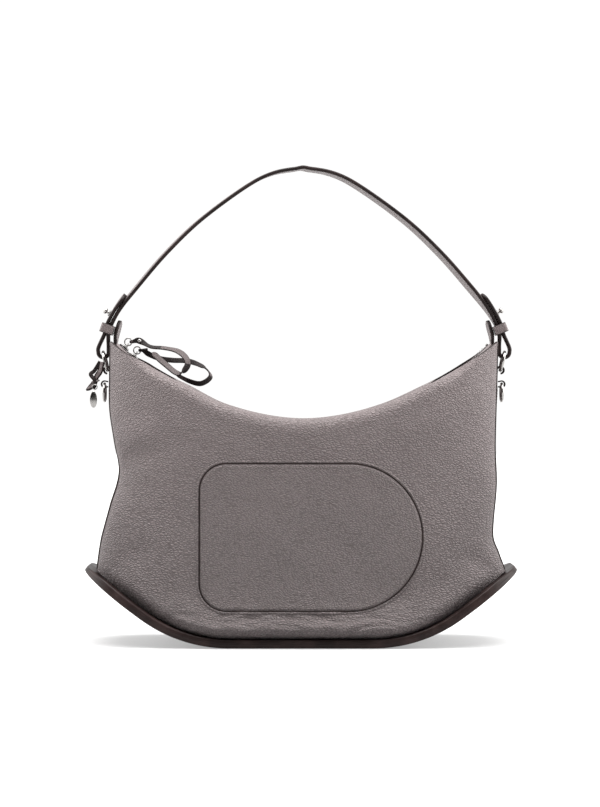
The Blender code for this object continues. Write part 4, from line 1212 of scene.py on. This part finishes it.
def build_ear(word, end):
    """Leather tab that stands up from the zip's end at each corner."""
    top = edge_x(1.0)[1 if end > 0 else 0]
    base = Vector((top - end * 0.0033, 0.0, CORNER_Z - 0.0020))
    route = [base, base + Vector((-end * 0.0007, 0.0, 0.0075)),
             base + Vector((-end * 0.0026, 0.0, 0.0150)), base + Vector((-end * 0.0042, 0.0, 0.0215))]
    path = evenly(spline(route, 12), FINE)
    turn = radians(8.0)

    def width(point, share):
        full = mix(0.0125, 0.0138, smooth(share / 0.4))
        return full * sqrt(max(0.03, 1.0 - max(0.0, (share - 0.62) / 0.38) ** 2.4))

    def across(point, share):
        return Vector((-end * sin(turn * smooth(share / 0.5)), cos(turn), 0.0))

    one("ear_" + word, strap(path, width, 0.0030, across), STRAP_FACES, "bag",
        ("zip_ear_" + word,))
    face = Vector((-end * cos(turn), -sin(turn), 0.12)).normalized()
    lines = []
    for edge in (-1, 1):
        line = []
        for k, point in enumerate(path):
            share = k / (len(path) - 1)
            if 0.1 < share < 0.9:
                out = across(point, share).normalized() * edge * (width(point, share) / 2 - 0.0022)
                line.append(point + out + face * 0.00162)
        lines.append(line)
    sew("ear_stitches_" + word, "bag", lines, face, 0.0027, 0.0019, 0.00026)


def ring_centre(end):
    return Vector((end * RING_X + LEAN, 0.0, RING_Z))


def ring_axis(end):
    return Vector((cos(RING_TILT), 0.0, end * -sin(RING_TILT)))


def ring_down(end):
    """Unit vector from the ring's centre to its lowest point."""
    return Vector((-end * sin(RING_TILT), 0.0, -cos(RING_TILT)))


def gusset_face(end, z):
    """x of the side panel's outer face in its middle, at height z."""
    left, right = edge_x(1.0)
    low = plank_height(right, PLANK_THICKNESS)
    t = (z - low) / (CORNER_Z - ROLL_STRAIGHT - low)
    left, right = edge_x(t)
    return (right if end > 0 else left) + end * max(0.0, curve_through(GUSSET_BULGE, t))


TAB_THICKNESS = 0.0016
TAB_WIDTH = 0.0170
TAB_EYE_WIDTH = 0.0062
TAB_EYE_RADIUS = 0.0031
TAB_LOW_Z = 0.2010


def build_side_tab(word, end):
    """Strip on the side panel whose upper end is turned round the ring's wire."""
    wire_at = ring_centre(end) + ring_down(end) * (RING_RADIUS - 0.0003)
    face = gusset_face(end, 0.225) + end * (TAB_THICKNESS / 2 + GAP)
    low = Vector((gusset_face(end, TAB_LOW_Z) + end * (TAB_THICKNESS / 2 + GAP), 0.0, TAB_LOW_Z))
    mid = Vector((face, 0.0, 0.2200))
    neck_z = wire_at.z - TAB_EYE_RADIUS - 0.0040
    neck = Vector((mix(face, wire_at.x - end * TAB_EYE_RADIUS, 0.4), 0.0, neck_z))
    knots = [low, low.lerp(mid, 0.5), mid, neck]
    for k in range(13):
        turn = radians(mix(-20.0, 262.0, k / 12))
        knots.append(wire_at + Vector((-end * cos(turn), 0.0, sin(turn))) * TAB_EYE_RADIUS)
    path = evenly(spline(knots, 6), FINE)
    neck_at = (neck - low).length
    whole = FINE * (len(path) - 1)

    def width(point, share):
        s = share * whole
        foot = sqrt(max(0.12, 1.0 - max(0.0, (0.0060 - s) / 0.0062) ** 2))
        return mix(TAB_WIDTH * foot, TAB_EYE_WIDTH, smooth((s - neck_at + 0.0100) / 0.0080))

    one("tab_" + word, strap(path, width, TAB_THICKNESS, (0.0, 1.0, 0.0)), STRAP_FACES, "bag",
        ("side_tab_" + word,))
    lines = [[p + Vector((end * 0.00092, edge * (TAB_WIDTH / 2 - 0.0026), 0.0))
              for p in path if TAB_LOW_Z + 0.005 < p.z < 0.2215] for edge in (-1, 1)]
    sew("tab_stitches_" + word, "bag", lines, Vector((end, 0.0, 0.0)), 0.0028, 0.0020, 0.00028)


def build_lower_ring(word, end):
    """Small sewn loop on the tab and the ring that hangs in it."""
    face = gusset_face(end, 0.225) + end * (TAB_THICKNESS + GAP)
    centre = Vector((face + end * 0.0042, 0.0, LOWER_LOOP_Z - 0.0045))
    foot_x = centre.x - end * (0.0042 - 0.0012)
    path = []
    for k in range(13):
        turn = radians(mix(-128.0, 128.0, k / 12))
        path.append(centre + Vector((end * cos(turn), 0.0, sin(turn))) * 0.0028)
    for k in (0, -1):
        path[k].x = foot_x
    one("loop_" + word, strap(evenly(spline(path, 5), FINE), 0.0050, 0.0012, (0.0, 1.0, 0.0)),
        STRAP_FACES, "bag", ("lower_loop_" + word,))
    hang = centre + Vector((0.0, 0.0, -LOWER_RING_RADIUS + 0.0003))
    one("hanging_ring_%s_metal" % word, torus(hang, (1.0, 0.0, 0.0), LOWER_RING_RADIUS, LOWER_RING_WIRE),
        [METAL_MAT], "hanging_ring_" + word, ("lower_ring_" + word,))


def build_ends():
    for end, word in ((-1, "left"), (1, "right")):
        build_ear(word, end)
        build_side_tab(word, end)
        build_lower_ring(word, end)
        one("ring_%s_metal" % word, torus(ring_centre(end), ring_axis(end), RING_RADIUS, RING_WIRE),
            [METAL_MAT], "ring_" + word, ("upper_ring_" + word,))


# ---------------------------------------------------------------- handle
def handle_path():
    """Centre line of the whole strap, tail to tail, with a turn round each ring."""
    halves = {}
    for end in (-1, 1):
        wire_at = ring_centre(end) - ring_down(end) * (RING_RADIUS - 0.0005)
        inner = wire_at - Vector((end * LOOP_RADIUS, 0.0, 0.0))
        main = [Vector((end * x + LEAN - HANDLE_DRIFT * (z - RING_Z), 0.0, z)) for x, z in HANDLE_KNOTS]
        main += [Vector((wire_at.x - end * 0.0052, 0.0, 0.2735)), inner + Vector((0.0, 0.0, 0.0050)), inner]
        turn = []
        for k in range(1, 12):
            a = pi * k / 12
            turn.append(wire_at + Vector((-end * cos(a), 0.0, -sin(a))) * LOOP_RADIUS)
        run = spline(main, 4)
        offset = STRAP_THICKNESS + GAP
        close = [p for p in run if 0.268 < p.z < TAIL_TIP_Z]
        tail = []
        for p in reversed(close):
            k = run.index(p)
            along = (run[k - 1] - run[k + 1]).normalized()
            out = Vector((along.z, 0.0, -along.x)) * (1.0 if end > 0 else -1.0)
            tail.append(p + out * offset)
        outer = wire_at + Vector((end * LOOP_RADIUS, 0.0, 0.0))
        first = [outer, outer + Vector((-end * 0.0002, 0.0, 0.0045))]
        halves[end] = (run, turn, first + tail)
    run_l, turn_l, tail_l = halves[-1]
    run_r, turn_r, tail_r = halves[1]
    return (list(reversed(tail_l)) + list(reversed(turn_l)) + list(reversed(run_l))
            + run_r[1:] + turn_r + tail_r)


def strand_pair(end, path, z):
    """Middle point between the strap and its tail at height z, and the upward direction."""
    strands = []
    for k in range(1, len(path) - 1):
        a, b = path[k], path[k + 1]
        if a.x * end > 0 and (a.z - z) * (b.z - z) <= 0 and a.z != b.z:
            f = (z - a.z) / (b.z - a.z)
            strands.append((a.lerp(b, f), (b - a).normalized()))
    middle = (strands[0][0] + strands[1][0]) / 2
    up = strands[0][1] if strands[0][1].z > 0 else -strands[0][1]
    return middle, up


STRAP_STEP = 0.0007
NECK_Z = 0.262              # below it the strap has the loops' width


def build_handle():
    coarse = handle_path()
    path = evenly(spline(coarse, 5), STRAP_STEP)
    whole = STRAP_STEP * (len(path) - 1)

    def width(point, share):
        if point.z < NECK_Z:
            return STRAP_LOOP_WIDTH
        body = mix(STRAP_LOOP_WIDTH, STRAP_WIDTH, smooth((point.z - NECK_Z) / 0.045))
        tip = min(share, 1.0 - share) * whole
        return body * sqrt(max(0.04, 1.0 - max(0.0, 1.0 - tip / 0.0075) ** 2))

    def across(point, share):
        lift = smooth((point.z - NECK_Z) / 0.05)
        return Vector((-sin(STRAP_SKEW * lift), cos(STRAP_SKEW * lift), 0.0))

    one("handle", strap(path, width, STRAP_THICKNESS, across), STRAP_FACES, "handle",
        ("handle_strap",))
    for end, word in ((-1, "left"), (1, "right")):
        build_keeper(word, end, coarse)
        middle, up = strand_pair(end, coarse, STUD_Z)
        out = Vector((up.z, 0.0, -up.x)) * end
        if out.x * end < 0:
            out = -out
        foot = middle + out * (STRAP_THICKNESS + GAP * 1.5)
        profile = ((0.0001, 0.0), (0.0028, 0.0001), (0.0030, 0.0006), (0.0022, 0.0011), (0.0014, 0.0016),
                   (0.0014, 0.0026), (0.0022, 0.0033), (0.0027, 0.0043), (0.0024, 0.0053), (0.0013, 0.0059),
                   (0.0001, 0.0060))
        one("stud_" + word, turned(foot, out, profile), [METAL_MAT], "handle",
            ("strap_stud_" + word,))


def build_keeper(word, end, coarse):
    """Leather loop that holds the strap's tail against the strap."""
    middle, up = strand_pair(end, coarse, KEEPER_Z)
    out = Vector((up.z, 0.0, -up.x))
    half_t = STRAP_THICKNESS + GAP / 2 + 0.0018
    half_w = 0.0092
    soft = 0.0016
    loop = []
    for cx, cy, start_turn in ((half_t - soft, half_w - soft, 0), (soft - half_t, half_w - soft, 90),
                               (soft - half_t, soft - half_w, 180), (half_t - soft, soft - half_w, 270)):
        for k in range(9):
            turn = radians(start_turn + 90 * k / 8)
            loop.append(middle + out * (cx + soft * cos(turn)) + Vector((0.0, cy + soft * sin(turn), 0.0)))
    loop = evenly(loop + [loop[0]], 0.0005)[:-1]
    one("keeper_" + word, strap(loop, 0.0084, 0.0012, up, closed=True), STRAP_FACES, "handle",
        ("strap_keeper_" + word,))
    face = middle + FRONTWARD * (half_w + 0.00062)
    lines = [[face + up * h + out * a for a in (-0.0034, 0.0, 0.0034)] for h in (-0.0026, 0.0026)]
    sew("keeper_stitches_" + word, "handle", lines, FRONTWARD, 0.0023, 0.0016, 0.00022)


# ---------------------------------------------------------------- charm on the left ring
def build_charm():
    """Leather thong tied to the left ring, with a small oval tag."""
    centre = ring_centre(-1)
    top = centre + Vector((-0.0020, -0.0124, -0.0010))
    knot = Vector((-0.1795, -0.0140, 0.2285))
    route = [top, top + Vector((-0.0015, -0.0015, -0.0080)), knot + Vector((0.0010, 0.0, 0.0040)), knot,
             knot + Vector((-0.0040, -0.0005, -0.0050)), knot + Vector((-0.0080, -0.0010, -0.0080))]
    path = evenly(spline(route, 10), FINE)

    def width(point, share):
        waist = 1.0 - 0.22 * exp(-((share - 0.55) / 0.07) ** 2)
        tip = sqrt(max(0.03, 1.0 - max(0.0, (share - 0.80) / 0.20) ** 1.6))
        return 0.0050 * waist * tip

    one("thong", strap(path, width, 0.0026, (1.0, 0.0, 0.35)), STRAP_FACES, "charm",
        ("charm_thong",))
    second = [top + Vector((-0.0016, -0.0004, 0.0004)), top + Vector((-0.0064, -0.0018, -0.0075)),
              knot + Vector((-0.0040, -0.0022, 0.0058)), knot + Vector((-0.0002, -0.0022, 0.0006)),
              knot + Vector((-0.0004, -0.0018, -0.0034)), knot + Vector((-0.0018, -0.0016, -0.0066))]
    one("thong_strand", strap(evenly(spline(second, 10), FINE), 0.0036, 0.0016, (0.8, 0.4, 0.2)),
        [DARK_LEATHER_MAT, DARK_LEATHER_MAT, PAINT_MAT], "charm")
    wrap = []
    for k in range(40):
        turn = 2 * pi * k / 40
        wrap.append(knot + Vector((0.0029 * cos(turn), 0.0020 * sin(turn), 0.0006 * cos(turn))))
    one("thong_knot", wire(wrap, 0.0008, 12, True), [STRAP_MAT], "charm")
    link_top = knot + Vector((-0.0004, -0.0036, -0.0052))
    one("link", torus(link_top, (0.1, 1.0, 0.0), 0.0022, 0.0004, 48, 12), [METAL_MAT], "charm",
        ("charm_link",))
    middle = link_top + Vector((-0.0010, -0.0006, -0.0108))
    sections = []
    for y, grow in ((-0.0006, 0.90), (-0.0005, 0.96), (-0.0003, 1.0), (0.0003, 1.0), (0.0005, 0.96),
                    (0.0006, 0.90)):
        sections.append(loop_of(middle + Vector((0.0, y, 0.0)), Vector((0.0031 * grow, 0.0, 0.0)),
                                UPWARD * 0.0072 * grow, 64))
    one("tag_plate", sweep(sections), [METAL_MAT], "tag", ("charm_tag",))


# ---------------------------------------------------------------- floor, light and camera
def build_studio():
    bpy.ops.mesh.primitive_plane_add(size=14.0, location=(0.0, 0.0, -0.0002))
    floor = bpy.context.object
    floor.name = "floor"
    mat, tree, shader, place = start("floor_paper", 0.75, Specular_IOR_Level=0.2,
                                     Emission_Color=(1.0, 1.0, 1.0, 1.0), Emission_Strength=FLOOR_GLOW)
    paint(tree, shader, (0.33, 0.33, 0.33), (0.34, 0.34, 0.34), clouds(tree, place, 300.0, 3.0))
    floor.data.materials.append(mat)

    world = bpy.data.worlds.new("studio")
    bpy.context.scene.world = world
    world.use_nodes = True
    tree = world.node_tree
    back = tree.nodes["Background"]
    around = put(tree, "ShaderNodeTexCoord").outputs["Generated"]
    deep = put(tree, "ShaderNodeSeparateXYZ", {0: around}).outputs[1]
    glow = spread(tree, deep, -0.30, 0.60, SKY_FRONT, SKY_BACK)
    for aim, begin, full, strength in SKY_LAMPS:
        facing = put(tree, "ShaderNodeVectorMath", {0: around, 1: Vector(aim).normalized()},
                     operation="DOT_PRODUCT").outputs["Value"]
        glow = calc(tree, "ADD", glow, spread(tree, facing, begin, full, 0.0, strength))
    tree.links.new(glow, back.inputs["Strength"])
    back.inputs["Color"].default_value = (1.0, 0.995, 0.99, 1.0)

    camera = bpy.data.cameras.new("camera")
    camera.lens = CAMERA_LENS
    camera.sensor_width = 36.0
    camera.clip_end = 60.0
    seat = bpy.data.objects.new("camera", camera)
    seat.location = CAMERA_PLACE
    seat.rotation_euler = (radians(90.0), 0.0, 0.0)
    bpy.context.scene.collection.objects.link(seat)
    bpy.context.scene.camera = seat
    bpy.context.scene.view_settings.view_transform = "Standard"
    bpy.context.scene.view_settings.look = "None"


build_plank()
build_wall("front", -1)
build_wall("back", 1)
build_gusset("left", -1)
build_gusset("right", 1)
build_side_seam("left", -1)
build_side_seam("right", 1)
build_inlay()
build_lining()
build_zip()
build_ends()
build_handle()
build_charm()
build_studio()
